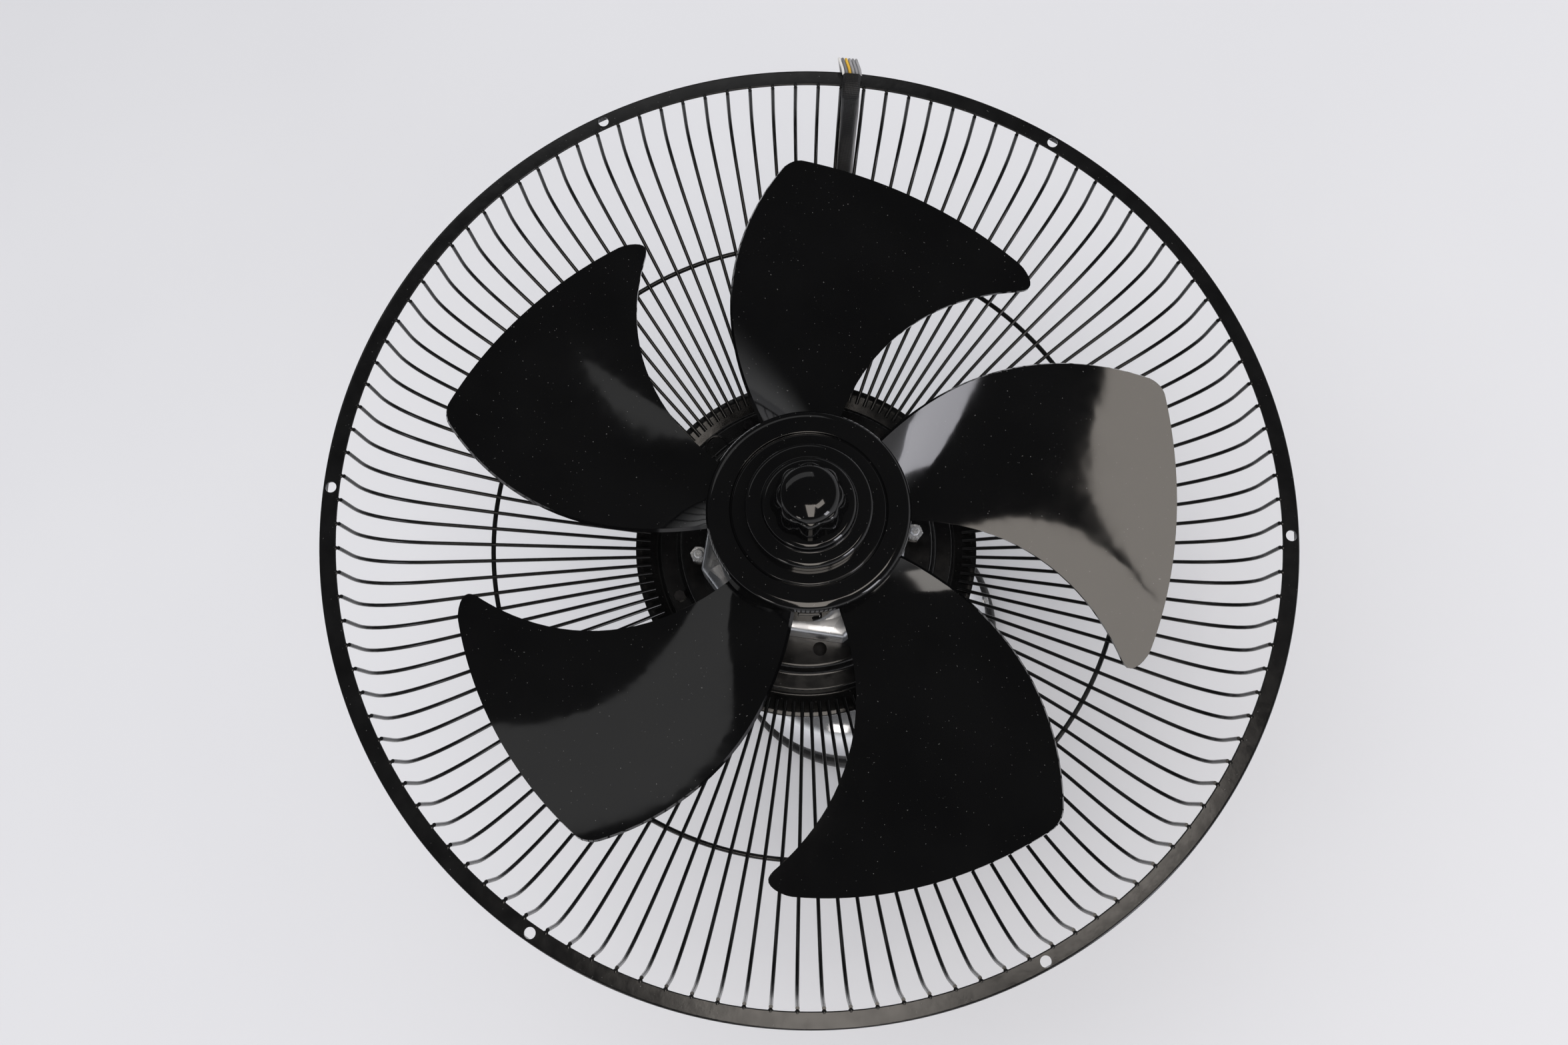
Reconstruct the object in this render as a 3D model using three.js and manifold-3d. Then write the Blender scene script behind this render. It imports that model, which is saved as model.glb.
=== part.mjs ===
// Orbital ceiling fan: a ceiling canopy with its orbit drive, a leaning motor head with a
// wire cage, and a five-blade impeller.
// Millimetres, +Z up. The origin is the centre of the canopy's flat mounting face. The fan
// stands on that face with its blades up, and the head leans about the pivot on the +Z axis.
import * as THREE from 'three';
import { mergeVertices } from 'three/addons/utils/BufferGeometryUtils.js';
import Module from 'manifold-3d';

const wasm = await Module();
wasm.setup();
const { Manifold, Mesh: SolidMesh } = wasm;

// ---- clearances: between seated pieces, and between running pieces (radial)
const seatGap = 0.3;
const runGap = 0.25;

// ---- how finely round pieces are faceted
const wideSides = 30;
const roundSides = 18;
const fitSides = 16;
const smallSides = 8;

// ---- head position
const pivotHeight = 140;
const headTilt = THREE.MathUtils.degToRad(22);
const leanAngle = -38;

// ---- ceiling plate, base ring and canopy
const ceilingPlateMargin = 4.6;
const ceilingPlateThickness = 2;
const ceilingHoleRadius = 2.75;
const ceilingHoleCircle = 60;
const ceilingHoleAngles = [45, 135, 225, 315];
const cableHoleRadius = 9;
const cableHoleAngle = 270;
const canopyRadius = 86;
const canopyWall = 1.4;
const canopySkirt = 8;
const canopyHeadroom = 5;
const canopyCollarHeight = 5;
const baseRingOverhang = 4;
const baseRingHeight = 8;
const lugWidth = 12;
const lugThickness = 2;
const lugFoot = 12;
const canopyScrewRadius = 2;
const canopyScrewHeadRadius = 3.5;
const canopyScrewHeadLength = 2.2;
const canopyScrewAngles = [10, 190];

// ---- orbit drive inside the canopy
const gearModule = 2;
const gearTeeth = 24;
const pinionTeeth = 8;
const gearThickness = 6;
const gearClearance = 3;
const driveMotorRadius = 22;
const driveMotorHeight = 26;
const driveMotorAngle = 100;
const driveShaftRadius = 3;
const driveShaftSocket = 7;
const drivePlateBottom = 42;
const drivePlateThickness = 2.4;
const drivePlateMargin = 2;
const pillarRadius = 4;
const pillarCircle = 40;
const pillarOffsets = [60, 180, 300];
const terminalLength = 34;
const terminalWidth = 14;
const terminalHeight = 13;
const terminalMargin = 15;
const terminalAngle = 180;

// ---- orbit crank (the bent shaft that leans the head) and its bushes
const crankRadius = 5;
const elbowMargin = 2.5;
const bushWall = 2.45;
const bushLength = 12;
const bushFlangeWidth = 6;
const bushFlangeThickness = 2;
const crankTail = 4;
const crankScrewRadius = 2;
const crankScrewLength = 8;
const crankScrewHeadHeight = 2.4;

// ---- downrod and ball shroud
const rodWall = 4;
const rodFlangeRadius = 30;
const rodFlangeThickness = 3;
const rodBoltRadius = 2.5;
const rodBoltHeadRadius = 4.2;
const rodBoltHeadHeight = 3;
const ballRadius = 34;
const ballWall = 2.5;
const ballLowEdge = THREE.MathUtils.degToRad(30);

// ---- fork and guide pin: they stop the head from turning about its own axis
const guideAngle = 142;
const guidePinRadius = 2;
const guidePinHeadRadius = 3.2;
const guidePinHeadLength = 1.4;
const guideArmThickness = 3;
const guideArmWidth = 8;
const guideArmDrop = 3.5;
const guideClearance = 3;
const forkLength = 6;
const forkProngThickness = 3.5;
const forkArmThickness = 4;
const forkRingHeight = 8;

// ---- swivel plate and its bolts
const swivelClearance = 5.3;
const swivelPlateThickness = 2;
const swivelPlateRadius = 66;
const headBoltRadius = 2.5;
const headBoltAngles = [4.5, 187.5];
const headBoltInset = 6.7;
const nutAcrossFlats = 8;
const nutHeight = 4;
const boltEndBeyondNut = 2;
const spacerWall = 2;

// ---- fan motor
const motorHalfWidth = 52.8;
const motorFlatHalf = 27;
const motorTurn = -8.3;
const motorShellHeight = 24;
const motorShellWall = 1.5;
const turretRadius = 30;
const turretHeight = 15;
const rearShellDepth = 8;
const rearShellInset = 8.3;
const statorHeight = 15;
const coilHeight = 3.4;
const coilMargin = 3;
const rotorRadius = 26;
const airGap = 1;
const bearingRadius = 9;
const bearingLength = 4.5;
const bearingSeatWall = 2.2;
const shaftRadius = 4;

// ---- base plate behind the wires
const plateauHeight = 44;
const plateauMargin = 9.5;
const plateThickness = 1.2;
const openingMargin = 1.5;
const stepWidth = 2.5;
const annulusDrop = 7;
const annulusWidth = 9.2;
const plateBorder = 14.3;
const beadWidth = 3;
const beadDepth = 4.2;
const plateHoleRadius = 3.75;
const plateHoleAngles = [276.8];
const dimpleRingRadius = 6.8;
const dimpleRingWidth = 1.4;
const dimpleRingHeight = 0.8;
const dimpleRingAngle = 131.7;

// ---- rear cover
const coverInset = 0.7;
const coverWall = 1.5;
const coverStraight = 12;
const coverOpeningPolar = THREE.MathUtils.degToRad(58);
const coverBallGap = 1.5;
const coverBossRadius = 4;
const coverScrewAngles = [57, 115.5, 202.8];
const coverScrewRadius = 1.6;
const coverScrewHeadRadius = 3.1;
const coverScrewHeadHeight = 2;
const coverScrewLength = 9;

// ---- wire cage
const cageDepth = 76;
const rimRadius = 240;
const rimWidth = 8.2;
const rimThickness = 1.2;
const rimLip = 4.5;
const rimHoleRadius = 2.7;
const rimHoleCount = 6;
const rimHoleStart = -3;
const wireCount = 120;
const wireRadius = 1;
const wireInset = 8;
const wireInnerDrop = 9.4;
const wireSlope = 0.287;
const bowlWidth = 32.5;
const bowlEndDrop = 19;
const supportRingInset = 29;
const supportRodRadius = 1.3;
const weldDepth = 0.7;

// ---- impeller and lock knob
const hubRadius = 50.5;
const hubProud = 6;
const hubDepth = 36;
const hubWall = 2.2;
const hubBevel = 3.5;
const grooveRadius = 38;
const grooveWidth = 1.6;
const grooveDepth = 0.8;
const hubBossWall = 4.7;
const hubBossClearance = 13.7;
const drivePinRadius = 1.5;
const drivePinOverhang = 1.2;
const bladeCount = 5;
const bladeTipGap = 50;
const bladeTipTaper = 8;
const bladeThickness = 2.2;
const bladeTrailingRoot = 117;
const bladeTrailingSweep = 24.5;
const bladeLeadingRoot = 73.5;
const bladeLeadingSweep = 24;
const bladeInset = 5;
const bladeRootDrop = 28;
const bladeTipDrop = 34;
const bladeTipRear = 3;
const bladeCamber = 7;
const knobDiscRadius = 31;
const knobDiscHeight = 9;
const knobStepRadius = 22.5;
const knobStepHeight = 4;
const knobGripRadius = 19;
const knobGripTaper = 3.4;
const knobGripHeight = 17;
const knobLobes = 8;
const knobLobeDepth = 1.7;
const knobCapRadius = 14.2;
const knobCapHeight = 5;
const shaftEngagement = 20;

// ---- harness
const harnessAngle = 84.2;
const sleeveWidth = 9.6;
const sleeveThickness = 4.4;
const grommetWall = 0.9;
const grommetLip = 1.3;
const grommetHeight = 2;
const leadCount = 6;
const leadRadius = 0.75;
const leadPitch = 1.8;
const leadClearance = 1;
const connectorLength = 16;
const connectorWidth = 12;
const connectorThickness = 5;

// ---- looks
const look = (color, roughness, metalness) =>
  new THREE.MeshStandardMaterial({ color, roughness, metalness });
const blackPaint = look(0x101010, 0.25, 0.2);
const blackGloss = look(0x0c0c0d, 0.12, 0);
const blackPlastic = look(0x18181a, 0.5, 0);
const polished = look(0xd9dbe0, 0.12, 1);
const galvanised = look(0xb9bdc2, 0.35, 0.9);
const zinc = look(0xc8cbd0, 0.3, 1);
const steel = look(0x9a9ca0, 0.4, 0.9);
const bronze = look(0xa57b45, 0.4, 0.9);
const copper = look(0xb06a3b, 0.45, 0.8);
const whitePlastic = look(0xe6e4dc, 0.5, 0);
const braid = look(0x161617, 0.85, 0);
const rubber = look(0x141414, 0.8, 0);
const leadColours = [0xe2e0dc, 0x6f7072, 0xd9a921, 0x8e8f92, 0x86878b, 0x909196];

// ---- making solids
const degrees = THREE.MathUtils.degToRad;

function toSolid(geometry) {
  const bare = geometry.clone();
  bare.deleteAttribute('normal');
  bare.deleteAttribute('uv');
  const merged = mergeVertices(bare, 1e-4);
  const triVerts = Uint32Array.from(merged.index.array);
  const vertProperties = Float32Array.from(merged.attributes.position.array);
  const corner = (k) => new THREE.Vector3().fromArray(vertProperties, 3 * triVerts[k]);
  let volume = 0;
  for (let k = 0; k < triVerts.length; k += 3) {
    volume += corner(k).dot(corner(k + 1).cross(corner(k + 2)));
  }
  if (volume < 0) {
    for (let k = 0; k < triVerts.length; k += 3) {
      [triVerts[k], triVerts[k + 1]] = [triVerts[k + 1], triVerts[k]];
    }
  }
  return new Manifold(new SolidMesh({ numProp: 3, vertProperties, triVerts }));
}

function toGeometry(solid) {
  const mesh = solid.getMesh();
  const geometry = new THREE.BufferGeometry();
  geometry.setAttribute('position', new THREE.BufferAttribute(mesh.vertProperties, 3));
  geometry.setIndex(new THREE.BufferAttribute(mesh.triVerts, 1));
  geometry.computeVertexNormals();
  return geometry;
}

// A solid of revolution about Z. The outline is a loop of [radius, height] points.
function revolve(outline, sides) {
  const points = outline.map(([radius, z]) => new THREE.Vector2(radius, z));
  points.push(points[0].clone());
  return toSolid(new THREE.LatheGeometry(points, sides).rotateX(Math.PI / 2));
}

function rod(radius, bottom, top, sides = smallSides) {
  const geometry = new THREE.CylinderGeometry(radius, radius, top - bottom, sides);
  geometry.rotateX(Math.PI / 2).translate(0, 0, (bottom + top) / 2);
  return toSolid(geometry);
}

function ring(inner, outer, bottom, top, sides = roundSides) {
  return revolve([[inner, bottom], [outer, bottom], [outer, top], [inner, top]], sides);
}

// A rod along the X axis, from one x to another.
function radialRod(radius, inner, outer, z, sides = smallSides) {
  const geometry = new THREE.CylinderGeometry(radius, radius, outer - inner, sides);
  geometry.rotateZ(Math.PI / 2).translate((inner + outer) / 2, 0, z);
  return toSolid(geometry);
}

// A block given by its limits along X, Y and Z.
function block([x0, x1], [y0, y1], [z0, z1]) {
  const geometry = new THREE.BoxGeometry(x1 - x0, y1 - y0, z1 - z0);
  return toSolid(geometry.translate((x0 + x1) / 2, (y0 + y1) / 2, (z0 + z1) / 2));
}

const toShape = (points) => new THREE.Shape(points.map(([x, y]) => new THREE.Vector2(x, y)));

function prism(points, bottom, top) {
  const options = { depth: top - bottom, bevelEnabled: false };
  return toSolid(new THREE.ExtrudeGeometry(toShape(points), options).translate(0, 0, bottom));
}

// A line through chosen points, which a bar follows with one section at each point.
class BentLine extends THREE.Curve {
  constructor(points) {
    super();
    this.points = points;
  }
  getUtoTmapping(u) {
    return u;
  }
  getPoint(t) {
    return this.points[Math.round(t * (this.points.length - 1))].clone();
  }
  getTangent(t) {
    const place = Math.round(t * (this.points.length - 1));
    const here = this.points[place];
    const before = this.points[Math.max(place - 1, 0)];
    const after = this.points[Math.min(place + 1, this.points.length - 1)];
    const arriving = here.clone().sub(before).normalize();
    const leaving = after.clone().sub(here).normalize();
    return arriving.add(leaving).normalize();
  }
}

// A bar along a line of [x, z] or [x, y, z] points. Its section is a list of [y, thickness] points.
function bar(line, section) {
  const points = line.map((at) => new THREE.Vector3(at[0], at.length > 2 ? at[1] : 0, at.at(-1)));
  const options = { steps: points.length - 1, bevelEnabled: false, extrudePath: new BentLine(points) };
  return toSolid(new THREE.ExtrudeGeometry(toShape(section), options));
}

function roundSection(radius, sides, start = 0) {
  return Array.from({ length: sides }, (_, k) => {
    const angle = start + (2 * Math.PI * k) / sides;
    return [radius * Math.cos(angle), radius * Math.sin(angle)];
  });
}

// A flat section with round ends.
function flatSection(width, thickness) {
  const side = (width - thickness) / 2;
  const half = thickness / 2;
  const slant = half * Math.SQRT1_2;
  return [
    [side, -half], [side + slant, -slant], [side + slant, slant], [side, half],
    [-side, half], [-side - slant, slant], [-side - slant, -slant], [-side, -half],
  ];
}

const moved = (solid, matrix) => toSolid(toGeometry(solid).applyMatrix4(matrix));
const turned = (solid, angle) => moved(solid, new THREE.Matrix4().makeRotationZ(degrees(angle)));
function placed(solid, radius, angle, spin = 0) {
  const matrix = new THREE.Matrix4()
    .makeTranslation(radius * Math.cos(degrees(angle)), radius * Math.sin(degrees(angle)), 0)
    .multiply(new THREE.Matrix4().makeRotationZ(degrees(spin)));
  return moved(solid, matrix);
}

function drilled(solid, hole, circle, angles) {
  return angles.reduce((rest, angle) => rest.subtract(placed(hole, circle, angle)), solid);
}

// ---- one group for each body that moves by itself
const fan = new THREE.Group();
const mount = new THREE.Group();
const crank = new THREE.Group();
const drivePinion = new THREE.Group();
const head = new THREE.Group();
const spinner = new THREE.Group();
fan.add(mount, crank, drivePinion, head);
head.add(spinner);

function piece(group, name, solid, material) {
  const mesh = new THREE.Mesh(toGeometry(solid), material);
  mesh.name = name;
  group.add(mesh);
}

// The head leans without turning about its own axis.
const toPivot = new THREE.Matrix4().makeTranslation(0, 0, pivotHeight);
const lean = new THREE.Matrix4()
  .makeRotationZ(degrees(leanAngle))
  .multiply(new THREE.Matrix4().makeRotationY(headTilt))
  .multiply(new THREE.Matrix4().makeRotationZ(-degrees(leanAngle)));
const headFrame = toPivot.clone().multiply(lean);
head.applyMatrix4(headFrame);

// ---- heights of the drive, from the ceiling plate up
const gearTop = drivePlateBottom - gearClearance;
const gearBottom = gearTop - gearThickness;
const drivePlateTop = drivePlateBottom + drivePlateThickness;
const rodBottom = drivePlateTop + seatGap;
const rodBoltSeat = rodBottom + rodFlangeThickness + seatGap;
const canopyHeight = rodBoltSeat + rodBoltHeadHeight + canopyHeadroom;
const rodBore = crankRadius + runGap + bushWall + seatGap;
const rodRadius = rodBore + rodWall;
const rodBoltCircle = (rodRadius + rodFlangeRadius) / 2;
const rodBoltAngles = [driveMotorAngle, driveMotorAngle + 120, driveMotorAngle + 240];

// ================= ceiling plate, base ring and canopy =================
const canopyInner = canopyRadius - canopyWall;
const ceilingPlateRadius = canopyInner - ceilingPlateMargin;
const canopyBottom = baseRingHeight + seatGap;
const canopyScrewHeight = canopyBottom + canopySkirt / 2;
const lugCorner = canopyInner * Math.cos(Math.PI / wideSides) - seatGap;
const lugOuter = Math.sqrt(lugCorner ** 2 - (lugWidth / 2) ** 2);
const lugTop = canopyScrewHeight + canopySkirt / 2;
const canopyScrewHole = radialRod(
  canopyScrewRadius + seatGap, lugOuter - 6, canopyRadius + 2, canopyScrewHeight);

let ceilingPlate = rod(ceilingPlateRadius, 0, ceilingPlateThickness, wideSides);
for (const angle of canopyScrewAngles) {
  const lugSides = [-lugWidth / 2, lugWidth / 2];
  const foot = block([lugOuter - lugFoot, lugOuter], lugSides, [0, ceilingPlateThickness]);
  const upright = block([lugOuter - lugThickness, lugOuter], lugSides, [0, lugTop]);
  ceilingPlate = ceilingPlate.add(turned(foot.add(upright).subtract(canopyScrewHole), angle));
}
const ceilingHole = rod(ceilingHoleRadius, -1, ceilingPlateThickness + 1, 8);
const cableHole = rod(cableHoleRadius, -1, ceilingPlateThickness + 1);
ceilingPlate = drilled(ceilingPlate, ceilingHole, ceilingHoleCircle, ceilingHoleAngles);
ceilingPlate = drilled(ceilingPlate, cableHole, ceilingHoleCircle, [cableHoleAngle]);
piece(mount, 'ceiling_plate', ceilingPlate, zinc);

const baseRingRadius = canopyRadius + baseRingOverhang;
piece(mount, 'base_ring',
  revolve([
    [canopyInner, 0],
    [baseRingRadius, 0],
    [baseRingRadius, baseRingHeight * 0.75],
    [baseRingRadius - baseRingHeight * 0.25, baseRingHeight],
    [canopyInner, baseRingHeight],
  ], wideSides), blackPlastic);

// The canopy is a dished shell with a collar round the downrod.
const skirtTop = canopyBottom + canopySkirt;
const collarInner = rodRadius + 3 * seatGap;
const collarOuter = collarInner + canopyWall;
function domeArc(edge, top) {
  const count = 5;
  return Array.from({ length: count }, (_, k) => {
    const angle = (k / count) * (Math.PI / 2);
    const out = collarOuter + (edge - collarOuter) * Math.cos(angle) ** 0.8;
    return [out, skirtTop + (top - skirtTop) * Math.sin(angle)];
  });
}
let canopy = revolve([
  [canopyRadius, canopyBottom],
  ...domeArc(canopyRadius, canopyHeight),
  [collarOuter, canopyHeight],
  [collarOuter, canopyHeight + canopyCollarHeight],
  [collarInner, canopyHeight + canopyCollarHeight],
  [collarInner, canopyHeight - canopyWall],
  ...domeArc(canopyInner, canopyHeight - canopyWall).reverse(),
  [canopyInner, canopyBottom],
], wideSides);
for (const angle of canopyScrewAngles) {
  canopy = canopy.subtract(turned(canopyScrewHole, angle));
}
piece(mount, 'canopy', canopy, polished);

canopyScrewAngles.forEach((angle, k) => {
  const seat = canopyRadius + seatGap;
  const shank = radialRod(canopyScrewRadius, lugOuter - lugThickness - 2, seat + 0.5, canopyScrewHeight, 8);
  const cap = radialRod(canopyScrewHeadRadius, seat, seat + canopyScrewHeadLength, canopyScrewHeight);
  piece(mount, `canopy_screw_${k + 1}`, turned(shank.add(cap), angle), zinc);
});

// ================= orbit drive =================
const centreDistance = (gearModule * (gearTeeth + pinionTeeth)) / 2;
const driveMotorBottom = ceilingPlateThickness + seatGap;
const driveMotorTop = driveMotorBottom + driveMotorHeight;
const driveSocket = rod(driveShaftRadius + runGap, driveMotorTop - driveShaftSocket - 1, driveMotorTop + 1);
const driveMotor = rod(driveMotorRadius, driveMotorBottom, driveMotorTop, roundSides);
piece(mount, 'orbit_motor',
  placed(driveMotor.subtract(driveSocket), centreDistance, driveMotorAngle), galvanised);

// A spur wheel with plain straight-sided teeth; the first tooth points along turn.
function spurWheel(teeth, bottom, top, turn) {
  const pitchRadius = (gearModule * teeth) / 2;
  const tip = pitchRadius + 0.8 * gearModule;
  const root = pitchRadius - 1.15 * gearModule;
  const corners = [[root, -0.28], [tip, -0.1], [tip, 0.1], [root, 0.28]];
  const points = [];
  for (let tooth = 0; tooth < teeth; tooth += 1) {
    for (const [radius, share] of corners) {
      const angle = degrees(turn) + (2 * Math.PI * (tooth + share)) / teeth;
      points.push([radius * Math.cos(angle), radius * Math.sin(angle)]);
    }
  }
  return prism(points, bottom, top);
}

const drivePlateRadius = pillarCircle + pillarRadius + drivePlateMargin;
const rodBoltHole = rod(rodBoltRadius + seatGap, drivePlateBottom - 1, rodBoltSeat + 1, 8);
const drivePlate = ring(rodBore, drivePlateRadius, drivePlateBottom, drivePlateTop);
piece(mount, 'drive_plate', drilled(drivePlate, rodBoltHole, rodBoltCircle, rodBoltAngles), zinc);
pillarOffsets.forEach((offset, k) => {
  const pillar = rod(pillarRadius, ceilingPlateThickness + seatGap, drivePlateBottom - seatGap);
  piece(mount, `pillar_${k + 1}`, placed(pillar, pillarCircle, driveMotorAngle + offset), steel);
});

const terminalOuter = ceilingPlateRadius - terminalMargin;
const terminal = block(
  [terminalOuter - terminalWidth, terminalOuter],
  [-terminalLength / 2, terminalLength / 2],
  [ceilingPlateThickness + seatGap, ceilingPlateThickness + seatGap + terminalHeight]);
piece(mount, 'terminal_block', turned(terminal, terminalAngle), whitePlastic);

// ================= downrod, bushes and ball shroud =================
const ballSeat = pivotHeight - ballRadius * Math.cos(ballLowEdge);
const rodTop = ballSeat + ballWall;
const downrod = revolve([
  [rodBore, rodBottom],
  [rodFlangeRadius, rodBottom],
  [rodFlangeRadius, rodBottom + rodFlangeThickness],
  [rodRadius, rodBottom + rodFlangeThickness],
  [rodRadius, rodTop],
  [rodBore, rodTop],
], roundSides);
piece(mount, 'downrod', drilled(downrod, rodBoltHole, rodBoltCircle, rodBoltAngles), blackPaint);

rodBoltAngles.forEach((angle, k) => {
  const shank = rod(rodBoltRadius, drivePlateBottom - 1, rodBoltSeat + 0.5, 8);
  const cap = rod(rodBoltHeadRadius, rodBoltSeat, rodBoltSeat + rodBoltHeadHeight, 6);
  piece(mount, `rod_bolt_${k + 1}`, placed(shank.add(cap), rodBoltCircle, angle), zinc);
});

const bushBore = crankRadius + runGap;
const bushOuter = rodBore - seatGap;
const lowerBush = ring(bushBore, bushOuter, rodBottom, rodBottom + bushLength, fitSides);
const upperBush = ring(bushBore, bushOuter, rodTop - 1 - bushLength, rodTop - 1, fitSides);
piece(mount, 'bush_lower', lowerBush, bronze);
piece(mount, 'bush_upper', upperBush, bronze);

// The ball shroud is the lower half of a hollow ball about the pivot.
const ballInner = ballRadius - ballWall;
const shroudBore = rodRadius + seatGap;
const shroudFloor = rodTop - seatGap;
const innerLowEdge = Math.acos((pivotHeight - shroudFloor) / ballInner);
function ballArc(radius, from, to) {
  const count = 5;
  return Array.from({ length: count + 1 }, (_, k) => {
    const angle = from + ((to - from) * k) / count;
    return [radius * Math.sin(angle), pivotHeight - radius * Math.cos(angle)];
  });
}
piece(mount, 'ball_shroud',
  revolve([
    [shroudBore, ballSeat],
    ...ballArc(ballRadius, ballLowEdge, Math.PI / 2),
    ...ballArc(ballInner, Math.PI / 2, innerLowEdge),
    [shroudBore, shroudFloor],
  ], wideSides), blackGloss);

// ================= fork and guide pin =================
const guideArmOuter = ballInner - guideClearance - guidePinHeadLength - seatGap;
const guideArmInner = guideArmOuter - guideArmThickness;
const armSweep = guideArmInner * Math.cos(headTilt) - guideArmDrop * Math.sin(headTilt);
const forkOuter = armSweep - 2 * seatGap;
const forkInner = forkOuter - forkLength;
const forkMiddle = (forkInner + forkOuter) / 2;
const guideWander = (forkMiddle * (1 - Math.cos(headTilt))) / 2;
const slotHalf = guidePinRadius + guideWander + 2 * seatGap;
const forkHalfWidth = slotHalf + forkProngThickness;
const forkBottom = rodTop + seatGap - pivotHeight;
const forkArmTop = forkBottom + forkRingHeight;
const forkArmBottom = forkArmTop - forkArmThickness;
const forkTop = forkMiddle * Math.sin(headTilt) + guidePinRadius / Math.cos(headTilt) + seatGap;
const forkRing = ring(rodBore, rodRadius, forkBottom, forkArmTop);
const forkArm = block([rodBore + 1, forkOuter], [-forkHalfWidth, forkHalfWidth], [forkArmBottom, forkArmTop]);
const forkProngs = block([forkInner, forkOuter], [-forkHalfWidth, forkHalfWidth], [forkArmBottom, forkTop]);
const forkSlot = block([forkInner - 1, forkOuter + 1], [-slotHalf, slotHalf], [forkArmTop, forkTop + 1]);
const crankRoom = rod(rodBore, forkBottom - 1, forkArmTop + 1, roundSides);
const fork = forkRing.add(forkArm.subtract(crankRoom)).add(forkProngs.subtract(forkSlot));
piece(mount, 'guide_fork', moved(turned(fork, guideAngle), toPivot), steel);

const guidePinSeat = guideArmOuter + seatGap;
const guidePinShank = radialRod(guidePinRadius, forkInner, guidePinSeat + 0.5, 0);
const guidePinHead = radialRod(guidePinHeadRadius, guidePinSeat, guidePinSeat + guidePinHeadLength, 0);
piece(head, 'guide_pin', turned(guidePinShank.add(guidePinHead), guideAngle), zinc);

// ================= crank, gear and pinion =================
const swivelBottom = ballRadius * Math.sin(headTilt) + swivelClearance;
const swivelTop = swivelBottom + swivelPlateThickness;
const bushTop = swivelTop + seatGap + bushFlangeThickness;
const elbowRadius = crankRadius + elbowMargin;
const crankTop = bushTop + seatGap;
const crankBottom = gearBottom - crankTail;
const lowerShaft = rod(crankRadius, crankBottom, pivotHeight, fitSides);
const upperShaft = moved(rod(crankRadius, 0, crankTop, fitSides), headFrame);
const elbow = toSolid(new THREE.SphereGeometry(elbowRadius, 12, 7).translate(0, 0, pivotHeight));
const crankScrewBore = rod(crankScrewRadius + seatGap, crankTop - crankScrewLength - 1, crankTop + 1, 8);
const crankBody = lowerShaft.add(elbow).add(upperShaft).subtract(moved(crankScrewBore, headFrame));
piece(crank, 'orbit_crank', crankBody, steel);

const crankScrewSeat = crankTop + seatGap;
const crankScrewShank = rod(crankScrewRadius, crankTop - crankScrewLength, crankScrewSeat + 0.5, 8);
const crankScrewHead = rod(elbowRadius, crankScrewSeat, crankScrewSeat + crankScrewHeadHeight);
piece(crank, 'crank_screw', moved(crankScrewShank.add(crankScrewHead), headFrame), zinc);

const gearBore = rod(crankRadius + seatGap, gearBottom - 1, gearTop + 1, fitSides);
const orbitGear = spurWheel(gearTeeth, gearBottom, gearTop, driveMotorAngle).subtract(gearBore);
piece(crank, 'orbit_gear', orbitGear, whitePlastic);

const pinionTurn = driveMotorAngle + 180 + 180 / pinionTeeth;
const pinionShaft = rod(driveShaftRadius, driveMotorTop - driveShaftSocket, gearBottom + 1);
const pinion = spurWheel(pinionTeeth, gearBottom - 1, gearTop + 1, pinionTurn).add(pinionShaft);
piece(drivePinion, 'orbit_pinion', placed(pinion, centreDistance, driveMotorAngle), whitePlastic);

// ================= swivel plate =================
// From here on, heights are measured along the head's axis from the pivot.
const headBoltCircle = motorHalfWidth + headBoltInset;
const guideArm = block(
  [guideArmInner, guideArmOuter],
  [-guideArmWidth / 2, guideArmWidth / 2],
  [-guideArmDrop, swivelBottom + swivelPlateThickness / 2]);
const guidePinHole = radialRod(guidePinRadius + seatGap, guideArmInner - 1, guideArmOuter + 1, 0);
const swivelDisc = ring(bushOuter + seatGap, swivelPlateRadius, swivelBottom, swivelTop, wideSides);
const swivelPlate = swivelDisc.add(turned(guideArm.subtract(guidePinHole), guideAngle));
const swivelBoltHole = rod(headBoltRadius + seatGap, swivelBottom - 1, swivelTop + 1, 8);
piece(head, 'swivel_plate', drilled(swivelPlate, swivelBoltHole, headBoltCircle, headBoltAngles), zinc);

const swivelBushBottom = elbowRadius + 2;
piece(head, 'swivel_bush',
  revolve([
    [bushBore, swivelBushBottom],
    [bushOuter, swivelBushBottom],
    [bushOuter, swivelTop + seatGap],
    [bushOuter + bushFlangeWidth, swivelTop + seatGap],
    [bushOuter + bushFlangeWidth, bushTop],
    [bushBore, bushTop],
  ], fitSides), bronze);

// ================= fan motor =================
const plateauBottom = plateauHeight - plateThickness;
const shellBottom = plateauHeight + seatGap;
const shellTop = shellBottom + motorShellHeight;
const turretTop = shellTop + turretHeight;
const chamferedSquare = (half, flat) => [
  [half, -flat], [half, flat], [flat, half], [-flat, half],
  [-half, flat], [-half, -flat], [-flat, -half], [flat, -half],
];
const innerHalf = motorHalfWidth - motorShellWall;
const innerFlat = motorFlatHalf - motorShellWall / 2;
const bearingBore = bearingRadius + seatGap;
const bearingSeat = bearingBore + bearingSeatWall;
const box = prism(chamferedSquare(motorHalfWidth, motorFlatHalf), shellBottom, shellTop);
const boxRoom = prism(chamferedSquare(innerHalf, innerFlat), shellBottom - 1, shellTop - motorShellWall);
const turret = revolve([
  [0, shellTop - 1],
  [turretRadius, shellTop - 1],
  [turretRadius - 1.5, turretTop - 2],
  [turretRadius - 3.5, turretTop],
  [0, turretTop],
], roundSides);
const turretRoomRadius = turretRadius - 1.5 - motorShellWall;
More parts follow.
